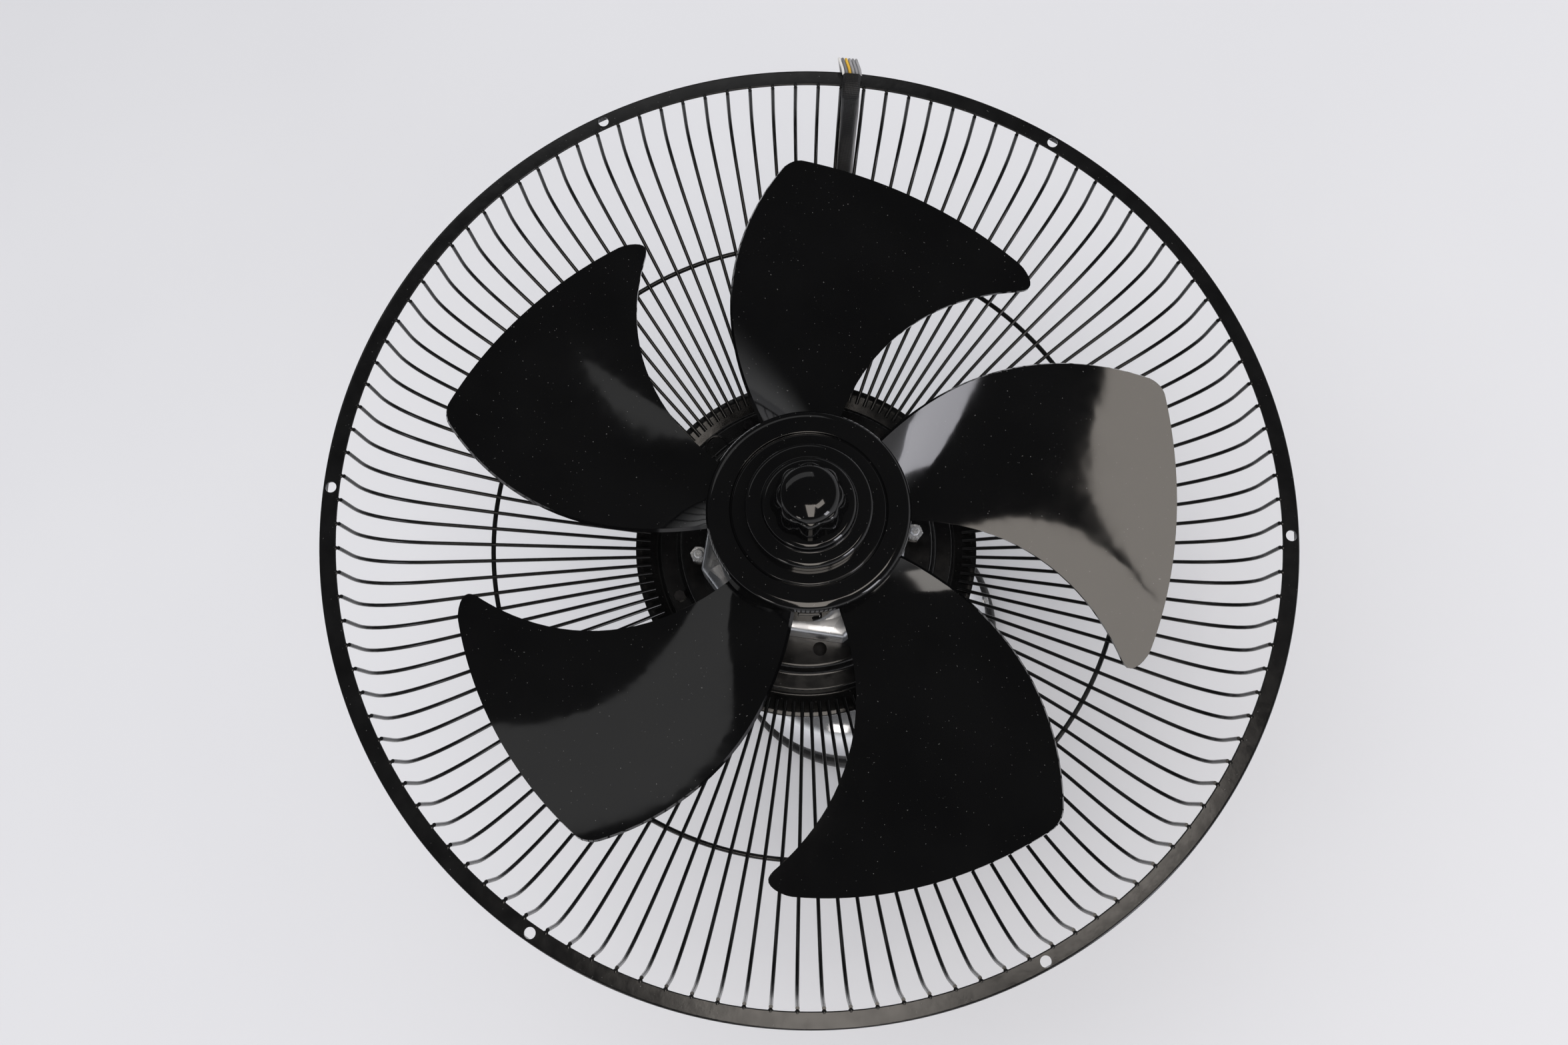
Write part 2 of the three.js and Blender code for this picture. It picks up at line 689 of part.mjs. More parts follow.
const turretRoom = revolve([
  [0, shellBottom],
  [turretRoomRadius, shellBottom],
  [turretRoomRadius, turretTop - 2 - motorShellWall],
  [bearingSeat, turretTop - 2 - motorShellWall],
  [bearingSeat, turretTop - bearingLength - 1],
  [bearingBore, turretTop - bearingLength - 1],
  [bearingBore, turretTop + 1],
  [0, turretTop + 1],
], roundSides);
const frontShell = box.add(turret).subtract(boxRoom).subtract(turretRoom);
piece(head, 'motor_front_shell', turned(frontShell, motorTurn), galvanised);

const spacerOuter = headBoltRadius + seatGap + spacerWall;
const rearShellRadius = motorHalfWidth - rearShellInset;
const rearShellFlange = headBoltCircle - spacerOuter - 2 * seatGap;
const rearShellTop = plateauBottom - seatGap;
const rearShellBottom = plateauHeight - rearShellDepth;
piece(head, 'motor_rear_shell',
  revolve([
    [bearingBore, rearShellBottom],
    [rearShellRadius, rearShellBottom],
    [rearShellRadius, rearShellTop - plateThickness],
    [rearShellFlange, rearShellTop - plateThickness],
    [rearShellFlange, rearShellTop],
    [rearShellRadius - motorShellWall, rearShellTop],
    [rearShellRadius - motorShellWall, rearShellBottom + motorShellWall],
    [bearingSeat, rearShellBottom + motorShellWall],
    [bearingSeat, rearShellBottom + bearingLength],
    [bearingBore, rearShellBottom + bearingLength],
  ], roundSides), galvanised);

const statorMiddle = shellBottom + (motorShellHeight - motorShellWall) / 2 - 1;
const statorBottom = statorMiddle - statorHeight / 2;
const statorTop = statorMiddle + statorHeight / 2;
const statorOutline = chamferedSquare(innerHalf - seatGap, innerFlat - seatGap);
const statorBore = rod(rotorRadius + airGap, statorBottom - 1, statorTop + 1, roundSides);
const coilInner = rotorRadius + airGap + coilMargin;
const coilOuter = rearShellRadius - motorShellWall - coilMargin;
const statorCore = prism(statorOutline, statorBottom, statorTop).subtract(statorBore);
piece(head, 'stator_core', turned(statorCore, motorTurn), steel);
piece(head, 'coil_rear',
  ring(coilInner, coilOuter, statorBottom - seatGap - coilHeight, statorBottom - seatGap), copper);
piece(head, 'coil_front',
  ring(coilInner, coilOuter, statorTop + seatGap, statorTop + seatGap + coilHeight), copper);

const frontBearingTop = turretTop - 0.5;
const rearBearingBottom = rearShellBottom + 0.5;
const bearing = (bottom) =>
  ring(shaftRadius + runGap, bearingRadius, bottom, bottom + bearingLength, fitSides);
piece(head, 'bearing_front', bearing(frontBearingTop - bearingLength), steel);
piece(head, 'bearing_rear', bearing(rearBearingBottom), steel);

// ================= wire cage =================
const rimHeight = plateauHeight + cageDepth;
const rimInner = rimRadius - rimWidth;
const plateauRadius = headBoltCircle + plateauMargin;
const stepRadius = plateauRadius + stepWidth;
const annulusRadius = stepRadius + annulusWidth;
const plateRadius = annulusRadius + plateBorder;
const wireInnerRadius = plateRadius - wireInset;
const wireOuterRadius = rimInner - seatGap - wireRadius;
const wireHeightAt = (radius) => plateauHeight - wireInnerDrop + (radius - wireInnerRadius) * wireSlope;
const bowlStartRadius = wireOuterRadius - bowlWidth;
const bowlStart = new THREE.Vector2(bowlStartRadius, wireHeightAt(bowlStartRadius));
const bowlCorner = new THREE.Vector2(wireOuterRadius, wireHeightAt(wireOuterRadius));
const bowlEnd = new THREE.Vector2(wireOuterRadius, rimHeight - bowlEndDrop);
const bowlCurve = new THREE.QuadraticBezierCurve(bowlStart, bowlCorner, bowlEnd);
const wireLine = [
  [wireInnerRadius, wireHeightAt(wireInnerRadius)],
  ...bowlCurve.getPoints(2).map((point) => [point.x, point.y]),
  [wireOuterRadius, rimHeight - rimThickness / 2],
];
const wire = bar(wireLine, roundSection(wireRadius, 3, -Math.PI / 2));
const supportRadius = bowlStartRadius - supportRingInset;
const supportHeight = wireHeightAt(supportRadius) - wireRadius - supportRodRadius + weldDepth;
const supportOutline = roundSection(supportRodRadius, 4).map(
  ([out, up]) => [supportRadius + out, supportHeight + up]);
let cage = revolve(supportOutline, wireCount / 2);
for (let k = 0; k < wireCount; k += 1) {
  cage = cage.add(turned(wire, ((k + 0.5) * 360) / wireCount));
}
piece(head, 'guard_wires', cage, blackPaint);

const rimHole = rod(rimHoleRadius, rimHeight - rimThickness - 1, rimHeight + 1, 10);
const rimHoleAngles = Array.from({ length: rimHoleCount }, (_, k) => rimHoleStart + (k * 360) / rimHoleCount);
const rim = revolve([
  [rimInner, rimHeight - rimThickness],
  [rimRadius - rimThickness, rimHeight - rimThickness],
  [rimRadius - rimThickness, rimHeight - rimLip],
  [rimRadius, rimHeight - rimLip],
  [rimRadius, rimHeight],
  [rimInner, rimHeight],
], wireCount / 2);
piece(head, 'guard_rim', drilled(rim, rimHole, rimRadius - rimWidth / 2, rimHoleAngles), blackPaint);

// ================= base plate =================
// A raised plateau, a lower annulus, then a sloping border that the wires lie on.
const annulusHeight = plateauHeight - annulusDrop;
const annulusBottom = annulusHeight - plateThickness;
const borderTop = (radius) => wireHeightAt(radius) - wireRadius - 2 * seatGap;
const borderStart = annulusRadius + 2;
const beadInner = plateRadius - beadWidth;
const grommetHoleRadius = sleeveWidth / 2 + seatGap + grommetWall + seatGap;
const grommetCircle = headBoltCircle + 2.2;
let basePlate = revolve([
  [rearShellRadius + openingMargin, plateauBottom],
  [plateauRadius - 1, plateauBottom],
  [stepRadius - 1, annulusBottom],
  [annulusRadius - 0.4, annulusBottom],
  [borderStart, borderTop(borderStart) - plateThickness],
  [beadInner, borderTop(beadInner) - plateThickness],
  [beadInner, borderTop(beadInner) - beadDepth],
  [plateRadius, borderTop(plateRadius) - beadDepth],
  [plateRadius, borderTop(plateRadius) - 1.2],
  [beadInner, borderTop(beadInner)],
  [borderStart, borderTop(borderStart)],
  [annulusRadius, annulusHeight],
  [stepRadius, annulusHeight],
  [plateauRadius, plateauHeight],
  [rearShellRadius + openingMargin, plateauHeight],
], wideSides);
const dimpleRing = ring(
  dimpleRingRadius - dimpleRingWidth, dimpleRingRadius,
  annulusBottom + 0.4, annulusHeight + dimpleRingHeight, 16);
const dimpleCircle = annulusRadius - dimpleRingRadius + dimpleRingWidth;
basePlate = basePlate.add(placed(dimpleRing, dimpleCircle, dimpleRingAngle));
const coverRadius = annulusRadius - coverInset;
const coverScrewCircle = coverRadius - coverWall - coverBossRadius + 1;
const plateHole = rod(plateHoleRadius, plateauBottom - 1, plateauHeight + 1);
const boltHole = rod(headBoltRadius + seatGap, plateauBottom - 1, plateauHeight + 1, 8);
const coverScrewHole = rod(coverScrewRadius + seatGap, annulusBottom - 1, annulusHeight + 1, 8);
const grommetHole = rod(grommetHoleRadius, plateauBottom - 1, plateauHeight + 1, 16);
basePlate = drilled(basePlate, plateHole, headBoltCircle, plateHoleAngles);
basePlate = drilled(basePlate, boltHole, headBoltCircle, headBoltAngles);
basePlate = drilled(basePlate, coverScrewHole, coverScrewCircle, coverScrewAngles);
basePlate = drilled(basePlate, grommetHole, grommetCircle, [harnessAngle]);
piece(head, 'base_plate', basePlate, blackPaint);

// Two bolts clamp the swivel plate, the spacers and the base plate; their nuts show in front.
const nutRadius = nutAcrossFlats / Math.sqrt(3);
headBoltAngles.forEach((angle, k) => {
  const headTop = swivelBottom - seatGap;
  const nutBottom = plateauHeight + seatGap;
  const nutTop = nutBottom + nutHeight;
  const boltShank = rod(headBoltRadius, headTop - 1, nutTop + boltEndBeyondNut);
  const boltHead = rod(nutRadius, headTop - nutHeight, headTop, 6);
  const nutBore = rod(headBoltRadius + runGap, nutBottom - 1, nutTop + 1);
  const nut = rod(nutRadius, nutBottom, nutTop, 6).subtract(nutBore);
  const spacer = ring(
    headBoltRadius + seatGap, spacerOuter, swivelTop + seatGap, plateauBottom - seatGap, 16);
  piece(head, `head_bolt_${k + 1}`, placed(boltShank.add(boltHead), headBoltCircle, angle, motorTurn), zinc);
  piece(head, `head_nut_${k + 1}`, placed(nut, headBoltCircle, angle, motorTurn), zinc);
  piece(head, `spacer_${k + 1}`, placed(spacer, headBoltCircle, angle), steel);
});

// ================= rear cover =================
// A bowl whose round opening runs round the ball shroud with a small gap.
const coverTop = annulusBottom - seatGap;
const openingSphere = ballRadius + coverBallGap;
const openingRadius = openingSphere * Math.sin(coverOpeningPolar);
const openingHeight = -openingSphere * Math.cos(coverOpeningPolar);
function bowlWall(inset) {
  const start = new THREE.Vector2(coverRadius - inset, coverTop - coverStraight);
  const corner = new THREE.Vector2(coverRadius - inset - 2, openingHeight + 6 + inset);
  const end = new THREE.Vector2(openingRadius + 1 + inset, openingHeight - 1 + inset);
  return new THREE.QuadraticBezierCurve(start, corner, end).getPoints(4).map((point) => [point.x, point.y]);
}
let rearCover = revolve([
  [coverRadius, coverTop],
  ...bowlWall(0),
  [openingRadius, openingHeight],
  ...bowlWall(coverWall).reverse(),
  [coverRadius - coverWall, coverTop],
], wideSides);
const coverBoss = rod(coverBossRadius, coverTop - coverStraight, coverTop);
const coverBore = rod(coverScrewRadius + runGap, coverTop - coverScrewLength, coverTop + 1, 8);
for (const angle of coverScrewAngles) {
  rearCover = rearCover.add(placed(coverBoss, coverScrewCircle, angle));
}
piece(head, 'rear_cover', drilled(rearCover, coverBore, coverScrewCircle, coverScrewAngles), blackGloss);

coverScrewAngles.forEach((angle, k) => {
  const seat = annulusHeight + seatGap;
  const shank = rod(coverScrewRadius, coverTop - coverScrewLength + 1, seat + 0.5, 8);
  const cap = rod(coverScrewHeadRadius, seat, seat + coverScrewHeadHeight);
  piece(head, `cover_screw_${k + 1}`, placed(shank.add(cap), coverScrewCircle, angle), zinc);
});

// ================= impeller =================
const hubFront = rimHeight + hubProud;
const hubBack = hubFront - hubDepth;
const bossBottom = turretTop + hubBossClearance;
const hubBore = shaftRadius + seatGap;
const hubBossRadius = hubBore + hubBossWall;
const slotHalfWidth = drivePinRadius + seatGap;
const drivePinHeight = bossBottom + slotHalfWidth;
const bladeTipRadius = rimRadius - bladeTipGap;

// One blade is a bent sheet: u runs from the trailing to the leading edge, s from root to tip.
const chordStations = [0, 0.06, 0.2, 0.4, 0.6, 0.8, 0.94, 1];
const spanStations = [0, 0.25, 0.5, 0.75, 0.93, 1];
function tipRadiusAt(u) {
  const trailingCorner = Math.max(0, 1 - u / 0.12) ** 2;
  const leadingCorner = Math.max(0, (u - 0.9) / 0.1) ** 2;
  return bladeTipRadius - bladeTipTaper * (0.7 * u + trailingCorner + 0.6 * leadingCorner);
}
function bladePoint(u, s, side) {
  const root = hubRadius - hubWall / 2;
  const radius = root + s * (tipRadiusAt(u) - root);
  const share = Math.max(0, (radius - hubRadius) / (bladeTipRadius - hubRadius));
  const trailing = bladeTrailingRoot - bladeTrailingSweep * share ** 1.6;
  const leading = bladeLeadingRoot - bladeLeadingSweep * share ** 1.9;
  const angle = degrees(trailing + (leading - trailing) * u);
  const drop = bladeRootDrop + (bladeTipDrop - bladeRootDrop) * share;
  const camber = bladeCamber * (0.5 + 0.5 * share) * 4 * u * (1 - u);
  const middle = hubFront - bladeInset - bladeTipRear * share - drop * u - camber;
  const height = middle + (side * bladeThickness) / 2;
  return [radius * Math.cos(angle), radius * Math.sin(angle), height];
}
function bladeSolid() {
  const columns = chordStations.length - 1;
  const rows = spanStations.length - 1;
  const sheet = new THREE.BoxGeometry(columns, rows, 1, columns, rows, 1);
  const place = sheet.attributes.position;
  for (let k = 0; k < place.count; k += 1) {
    const u = chordStations[Math.round(place.getX(k) + columns / 2)];
    const s = spanStations[Math.round(place.getY(k) + rows / 2)];
    place.setXYZ(k, ...bladePoint(u, s, Math.sign(place.getZ(k))));
  }
  return toSolid(sheet);
}
let impeller = revolve([
  [hubBore, bossBottom],
  [hubBossRadius, bossBottom],
  [hubBossRadius, hubFront - hubWall],
  [hubRadius - hubWall, hubFront - hubWall],
  [hubRadius - hubWall, hubBack],
  [hubRadius, hubBack],
  [hubRadius, hubFront - hubBevel],
  [hubRadius - hubBevel * 0.3, hubFront - hubBevel * 0.3],
  [hubRadius - hubBevel, hubFront],
  [grooveRadius + grooveWidth / 2, hubFront],
  [grooveRadius, hubFront - grooveDepth],
  [grooveRadius - grooveWidth / 2, hubFront],
  [hubBore, hubFront],
], wideSides);
const blade = bladeSolid();
for (let k = 0; k < bladeCount; k += 1) {
  impeller = impeller.add(turned(blade, (k * 360) / bladeCount));
}
const slotReach = hubBossRadius + 2;
const pinSlot = block([-slotReach, slotReach], [-slotHalfWidth, slotHalfWidth],
  [bossBottom - 1, drivePinHeight + slotHalfWidth]);
piece(spinner, 'impeller', impeller.subtract(pinSlot), blackGloss);

// The lock knob screws onto the shaft's end: disc, step, lobed grip and domed cap.
const knobBottom = hubFront + seatGap;
const discTop = knobBottom + knobDiscHeight;
const stepTop = discTop + knobStepHeight;
const gripTop = stepTop + knobGripHeight;
const knobBase = revolve([
  [0, knobBottom],
  [knobDiscRadius, knobBottom],
  [knobDiscRadius, discTop - 1.5],
  [knobDiscRadius - 1.5, discTop - 0.3],
  [knobStepRadius, discTop],
  [knobStepRadius, stepTop - 1],
  [knobStepRadius - 1.5, stepTop],
  [0, stepTop],
], wideSides);
function lobedOutline(radius) {
  const count = knobLobes * 4;
  return Array.from({ length: count }, (_, k) => {
    const angle = (2 * Math.PI * k) / count;
    const out = radius - knobLobeDepth * (1 - Math.abs(Math.cos((knobLobes * angle) / 2)));
    return [out * Math.cos(angle), out * Math.sin(angle)];
  });
}
const gripLength = knobGripHeight + 1;
const gripOptions = { depth: gripLength, bevelEnabled: false };
const gripSheet = new THREE.ExtrudeGeometry(toShape(lobedOutline(knobGripRadius)), gripOptions);
const gripPlace = gripSheet.attributes.position;
for (let k = 0; k < gripPlace.count; k += 1) {
  const scale = 1 - (knobGripTaper / knobGripRadius) * (gripPlace.getZ(k) / gripLength);
  gripPlace.setXYZ(k, gripPlace.getX(k) * scale, gripPlace.getY(k) * scale, gripPlace.getZ(k) + stepTop - 1);
}
const knobCap = revolve([
  [0, gripTop - 1],
  [knobCapRadius, gripTop - 1],
  [knobCapRadius, gripTop + knobCapHeight * 0.25],
  [knobCapRadius * 0.8, gripTop + knobCapHeight * 0.75],
  [knobCapRadius * 0.4, gripTop + knobCapHeight],
  [0, gripTop + knobCapHeight],
], roundSides);
const shaftTop = knobBottom + shaftEngagement;
const knobBore = rod(shaftRadius + seatGap, knobBottom - 1, shaftTop + 1, fitSides);
const knob = knobBase.add(toSolid(gripSheet)).add(knobCap).subtract(knobBore);
piece(spinner, 'lock_knob', knob, blackGloss);

const crossHole = radialRod(drivePinRadius + runGap, -shaftRadius - 1, shaftRadius + 1, drivePinHeight);
const shaft = rod(shaftRadius, rearBearingBottom, shaftTop, fitSides).subtract(crossHole);
const drivePinHalf = hubBossRadius - drivePinOverhang;
piece(spinner, 'shaft', shaft, steel);
piece(spinner, 'drive_pin', radialRod(drivePinRadius, -drivePinHalf, drivePinHalf, drivePinHeight), steel);
piece(spinner, 'rotor', ring(shaftRadius + seatGap, rotorRadius, statorBottom, statorTop), galvanised);

// ================= harness =================
// It is laid out along +X, then turned to its place. A flat sleeve leads from the grommet over
// the wires to the rim; six leads leave it there and fold back behind the cage.
const overWires = wireRadius + sleeveThickness / 2 + 2 * seatGap;
const wallRadius = wireOuterRadius - overWires;
const mouthHeight = rimHeight + sleeveThickness / 2 + 3 * seatGap;
const mouthRadius = rimRadius - 4;
const laidOver = (radius, lift = 0) => [radius, wireHeightAt(radius) + overWires * 1.05 + lift];
const sleeveLine = [
  [grommetCircle, plateauBottom - 3],
  [grommetCircle, plateauHeight + 4],
  [grommetCircle + 2, plateauHeight + 7],
  [grommetCircle + 7, plateauHeight + 8.5],
  laidOver(plateRadius - 4, 6),
  laidOver(plateRadius + 12),
  laidOver(bowlStartRadius - 4),
  [wallRadius - 14, wireHeightAt(wallRadius - 14) + overWires + 3.5],
  [wallRadius - 4, bowlEnd.y - 15],
  [wallRadius, bowlEnd.y],
  [wallRadius, rimHeight - 5],
  [wallRadius + 0.2, rimHeight + seatGap],
  [wallRadius + 3.4, mouthHeight],
  [mouthRadius, mouthHeight],
];
const sleeve = bar(sleeveLine, flatSection(sleeveWidth, sleeveThickness));
piece(head, 'harness_sleeve', turned(sleeve, harnessAngle), braid);

const grommetInner = sleeveWidth / 2 + seatGap;
const grommetOuter = grommetInner + grommetWall;
const grommet = revolve([
  [grommetInner, plateauBottom - 2],
  [grommetOuter, plateauBottom - 2],
  [grommetOuter, plateauHeight + seatGap],
  [grommetOuter + grommetLip, plateauHeight + seatGap],
  [grommetOuter + grommetLip - 0.6, plateauHeight + grommetHeight],
  [grommetInner, plateauHeight + grommetHeight],
], 16);
piece(head, 'grommet', placed(grommet, grommetCircle, harnessAngle), rubber);

const underWires = (radius) => wireHeightAt(radius) - wireRadius - leadRadius - leadClearance;
const leadEndRadius = supportRadius + supportRodRadius + connectorLength + 2 * leadClearance;
function leadLine(across) {
  return [
    [mouthRadius + seatGap, across, mouthHeight],
    [mouthRadius + 4, across + 0.6, mouthHeight + 2],
    [mouthRadius + 8, across + 1.6, mouthHeight + 5],
    [mouthRadius + 11.5, across + 1.8, mouthHeight + 4.5],
    [mouthRadius + 13, across + 1.4, mouthHeight],
    [rimRadius + 6, across + 0.6, rimHeight - 12],
    [rimRadius - 3, across, bowlEnd.y - 8],
    [rimRadius - 12, across, underWires(rimRadius - 12) + 4],
    [bowlStartRadius + 14, across, underWires(bowlStartRadius + 14)],
    [leadEndRadius, across, underWires(leadEndRadius)],
  ];
}
for (let k = 0; k < leadCount; k += 1) {
  const across = ((leadCount - 1) / 2 - k) * leadPitch;
  const lead = bar(leadLine(across), roundSection(leadRadius, 8));
  piece(head, `lead_${k + 1}`, turned(lead, harnessAngle), look(leadColours[k], 0.5, 0));
}
const connectorHeight = wireHeightAt(leadEndRadius) - wireRadius - leadClearance - connectorThickness / 2;
const connectorPlace = new THREE.Matrix4()
  .makeTranslation(leadEndRadius, 0, connectorHeight)
  .multiply(new THREE.Matrix4().makeRotationY(-Math.atan(wireSlope)));
const connector = block(
  [-connectorLength, 0],
  [-connectorWidth / 2, connectorWidth / 2],
  [-connectorThickness / 2, connectorThickness / 2]);
piece(head, 'connector', turned(moved(connector, connectorPlace), harnessAngle), whitePlastic);

export default fan;
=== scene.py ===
import math

import bmesh
import bpy
from mathutils import Matrix, Vector


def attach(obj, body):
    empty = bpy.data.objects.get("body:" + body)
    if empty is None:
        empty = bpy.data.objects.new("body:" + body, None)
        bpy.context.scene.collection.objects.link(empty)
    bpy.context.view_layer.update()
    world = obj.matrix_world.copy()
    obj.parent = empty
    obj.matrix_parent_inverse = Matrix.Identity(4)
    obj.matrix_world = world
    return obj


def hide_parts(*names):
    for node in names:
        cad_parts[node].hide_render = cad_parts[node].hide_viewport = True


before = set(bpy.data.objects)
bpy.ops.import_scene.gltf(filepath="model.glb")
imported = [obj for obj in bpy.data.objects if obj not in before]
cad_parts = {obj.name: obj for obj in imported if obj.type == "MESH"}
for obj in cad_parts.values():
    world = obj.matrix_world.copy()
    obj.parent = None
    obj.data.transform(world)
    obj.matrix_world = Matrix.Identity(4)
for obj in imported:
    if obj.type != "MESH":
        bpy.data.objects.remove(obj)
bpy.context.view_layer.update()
mm = 0.001

# the head leans about the pivot; pieces on it are drawn upright and then placed by headFrame
pivotHeight = 140
headTilt = math.radians(22)
leanAngle = math.radians(-38)
leanWay = Matrix.Rotation(leanAngle, 4, "Z")
headFrame = (Matrix.Translation((0, 0, pivotHeight * mm)) @ leanWay
             @ Matrix.Rotation(headTilt, 4, "Y") @ leanWay.inverted())
mountFrame = Matrix.Identity(4)


# ---- camera, at the place the photograph was taken from
camera = {"lens": 28.79, "place": (-10.506, -134.938, 720.196),
          "right": (1, 0, -0.0027), "up": (0.0006, 0.9776, 0.2106), "back": (0.0026, -0.2106, 0.9776)}


def makeCamera():
    data = bpy.data.cameras.new("fanCamera")
    data.lens = camera["lens"]
    data.sensor_width = 36
    data.clip_start = 0.02
    data.clip_end = 30
    eye = bpy.data.objects.new("fanCamera", data)
    bpy.context.scene.collection.objects.link(eye)
    turn = Matrix((camera["right"], camera["up"], camera["back"])).transposed().to_4x4()
    eye.matrix_world = headFrame @ Matrix.Translation(Vector(camera["place"]) * mm) @ turn
    bpy.context.scene.camera = eye


makeCamera()
print("camera placed")


# ---- materials
class NodeBench:
    # adds and joins shader nodes for one material
    def __init__(self, name):
        self.material = bpy.data.materials.new(name)
        self.material.use_nodes = True
        self.nodes = self.material.node_tree.nodes
        self.links = self.material.node_tree.links
        self.shader = self.nodes["Principled BSDF"]
        self.coords = self.nodes.new("ShaderNodeTexCoord")

    def add(self, kind, inputs=None, **settings):
        node = self.nodes.new(kind)
        for key, value in settings.items():
            setattr(node, key, value)
        for label, value in (inputs or {}).items():
            node.inputs[label].default_value = value
        return node

    def join(self, output, target):
        self.links.new(output, target)

    def noise(self, scale, detail=2.0):
        node = self.add("ShaderNodeTexNoise", {"Scale": scale, "Detail": detail})
        self.join(self.coords.outputs["Object"], node.inputs["Vector"])
        return node.outputs["Fac"]

    def ranged(self, value, low, high, start=0.0, end=1.0):
        node = self.add("ShaderNodeMapRange", {"From Min": start, "From Max": end,
                                               "To Min": low, "To Max": high})
        self.join(value, node.inputs["Value"])
        return node.outputs["Result"]

    def mixed(self, share, first, second):
        node = self.add("ShaderNodeMix", {"A": (*first, 1), "B": (*second, 1)}, data_type="RGBA")
        self.join(share, node.inputs["Factor"])
        return node.outputs["Result"]

    def surfaced(self, colour, rough):
        self.join(colour, self.shader.inputs["Base Color"])
        self.join(rough, self.shader.inputs["Roughness"])

    def bumped(self, height, distance, strength=1.0):
        node = self.add("ShaderNodeBump", {"Distance": distance, "Strength": strength})
        self.join(height, node.inputs["Height"])
        self.join(node.outputs["Normal"], self.shader.inputs["Normal"])


def finish(name, dark, light, rough, metal=0.0, grain=60, ripple=None, dust=0.0):
    # one finish: a colour that drifts, uneven gloss, fine ripple, and a few specks of dust
    bench = NodeBench(name)
    drift = bench.noise(grain, 3)
    colour = bench.mixed(bench.ranged(drift, 0, 1, 0.35, 0.65), dark, light)
    if dust:
        speck = bench.ranged(bench.noise(900, 1), 0, 1, 0.765, 0.79)
        dusty = bench.add("ShaderNodeMix", {"B": (dust, dust, dust * 0.97, 1)}, data_type="RGBA")
        bench.join(speck, dusty.inputs["Factor"])
        bench.join(colour, dusty.inputs["A"])
        colour = dusty.outputs["Result"]
    bench.surfaced(colour, bench.ranged(bench.noise(grain * 2.5, 4), rough[0], rough[1], 0.3, 0.7))
    bench.shader.inputs["Metallic"].default_value = metal
    if ripple:
        bench.bumped(bench.noise(ripple[0], 2), ripple[1])
    return bench.material


def braidFinish():
    # fine braid: two slanting sets of strands on the sleeve's own map, in metres, with painted shade in the
    # hollows between them
    pitch = 0.0016
    bench = NodeBench("braidedSleeve")
    split = bench.add("ShaderNodeSeparateXYZ")
    bench.join(bench.coords.outputs["UV"], split.inputs["Vector"])
    strands = []
    for way in (1, -1):
        slant = bench.add("ShaderNodeMath", {1: way}, operation="MULTIPLY_ADD")
        bench.join(split.outputs["X"], slant.inputs[0])
        bench.join(split.outputs["Y"], slant.inputs[2])
        turns = bench.add("ShaderNodeMath", {1: 2 * math.pi / pitch}, operation="MULTIPLY")
        bench.join(slant.outputs[0], turns.inputs[0])
        wave = bench.add("ShaderNodeMath", operation="SINE")
        bench.join(turns.outputs[0], wave.inputs[0])
        strands.append(wave.outputs[0])
    weave = bench.add("ShaderNodeMath", operation="MULTIPLY")
    bench.join(strands[0], weave.inputs[0])
    bench.join(strands[1], weave.inputs[1])
    height = bench.ranged(weave.outputs[0], 0, 1, -1, 1)
    # the colour follows the weave's height: the hollows between strands get painted shade and the crowns stay
    # lighter
    bench.surfaced(bench.mixed(height, (0.002, 0.002, 0.002), (0.014, 0.014, 0.015)),
                   bench.ranged(height, 0.7, 0.3))
    bench.bumped(height, 0.00025, 0.8)
    return bench.material


def galvanisedFinish():
    # zinc coat with its faint crystal patches
    bench = NodeBench("galvanisedSheet")
    cells = bench.add("ShaderNodeTexVoronoi", {"Scale": 170})
    bench.join(bench.coords.outputs["Object"], cells.inputs["Vector"])
    tone = bench.add("ShaderNodeSeparateColor")
    bench.join(cells.outputs["Color"], tone.inputs["Color"])
    bench.surfaced(bench.mixed(tone.outputs["Red"], (0.5, 0.52, 0.55), (0.66, 0.68, 0.71)),
                   bench.ranged(tone.outputs["Green"], 0.24, 0.4))
    bench.shader.inputs["Metallic"].default_value = 1
    bench.bumped(bench.noise(420, 2), 0.00004)
    return bench.material


def windingFinish():
    # varnished copper turns, with painted shade in the grooves between them
    bench = NodeBench("copperWinding")
    turns = bench.add("ShaderNodeTexWave", {"Scale": 900, "Distortion": 2}, bands_direction="Z")
    bench.join(bench.coords.outputs["Object"], turns.inputs["Vector"])
    # the bands that make the turns' bump also set the colour: the darker copper in the grooves is painted
    # shade
    bench.join(bench.mixed(turns.outputs["Fac"], (0.22, 0.07, 0.025), (0.6, 0.24, 0.1)),
               bench.shader.inputs["Base Color"])
    bench.shader.inputs["Metallic"].default_value = 1
    bench.shader.inputs["Roughness"].default_value = 0.35
    bench.bumped(turns.outputs["Fac"], 0.0002)
    return bench.material


glossBlack = finish("glossBlack", (0.0018, 0.0018, 0.002), (0.003, 0.003, 0.0032), (0.045, 0.085),
                    grain=22, ripple=(38, 0.0001), dust=0.1)
enamelBlack = finish("enamelBlack", (0.003, 0.003, 0.0032), (0.006, 0.006, 0.0062), (0.13, 0.22),
                     grain=60, ripple=(260, 0.00003), dust=0.08)
wireBlack = finish("wireBlack", (0.003, 0.003, 0.0032), (0.006, 0.006, 0.0062), (0.14, 0.22),
                   grain=120, ripple=(500, 0.00002))
satinBlack = finish("satinBlack", (0.012, 0.012, 0.013), (0.02, 0.02, 0.021), (0.36, 0.48),
                    grain=90, ripple=(900, 0.00003))
mirrorPlate = finish("mirrorPlate", (0.76, 0.77, 0.8), (0.82, 0.83, 0.85), (0.09, 0.15), metal=0.9, grain=30)
zincBright = finish("zincBright", (0.62, 0.63, 0.65), (0.78, 0.79, 0.8), (0.18, 0.32), metal=0.6,
                    grain=300, ripple=(1500, 0.00002))
zincSheet = finish("zincSheet", (0.46, 0.47, 0.49), (0.6, 0.61, 0.63), (0.3, 0.45), metal=1,
                   grain=110, ripple=(700, 0.00002))
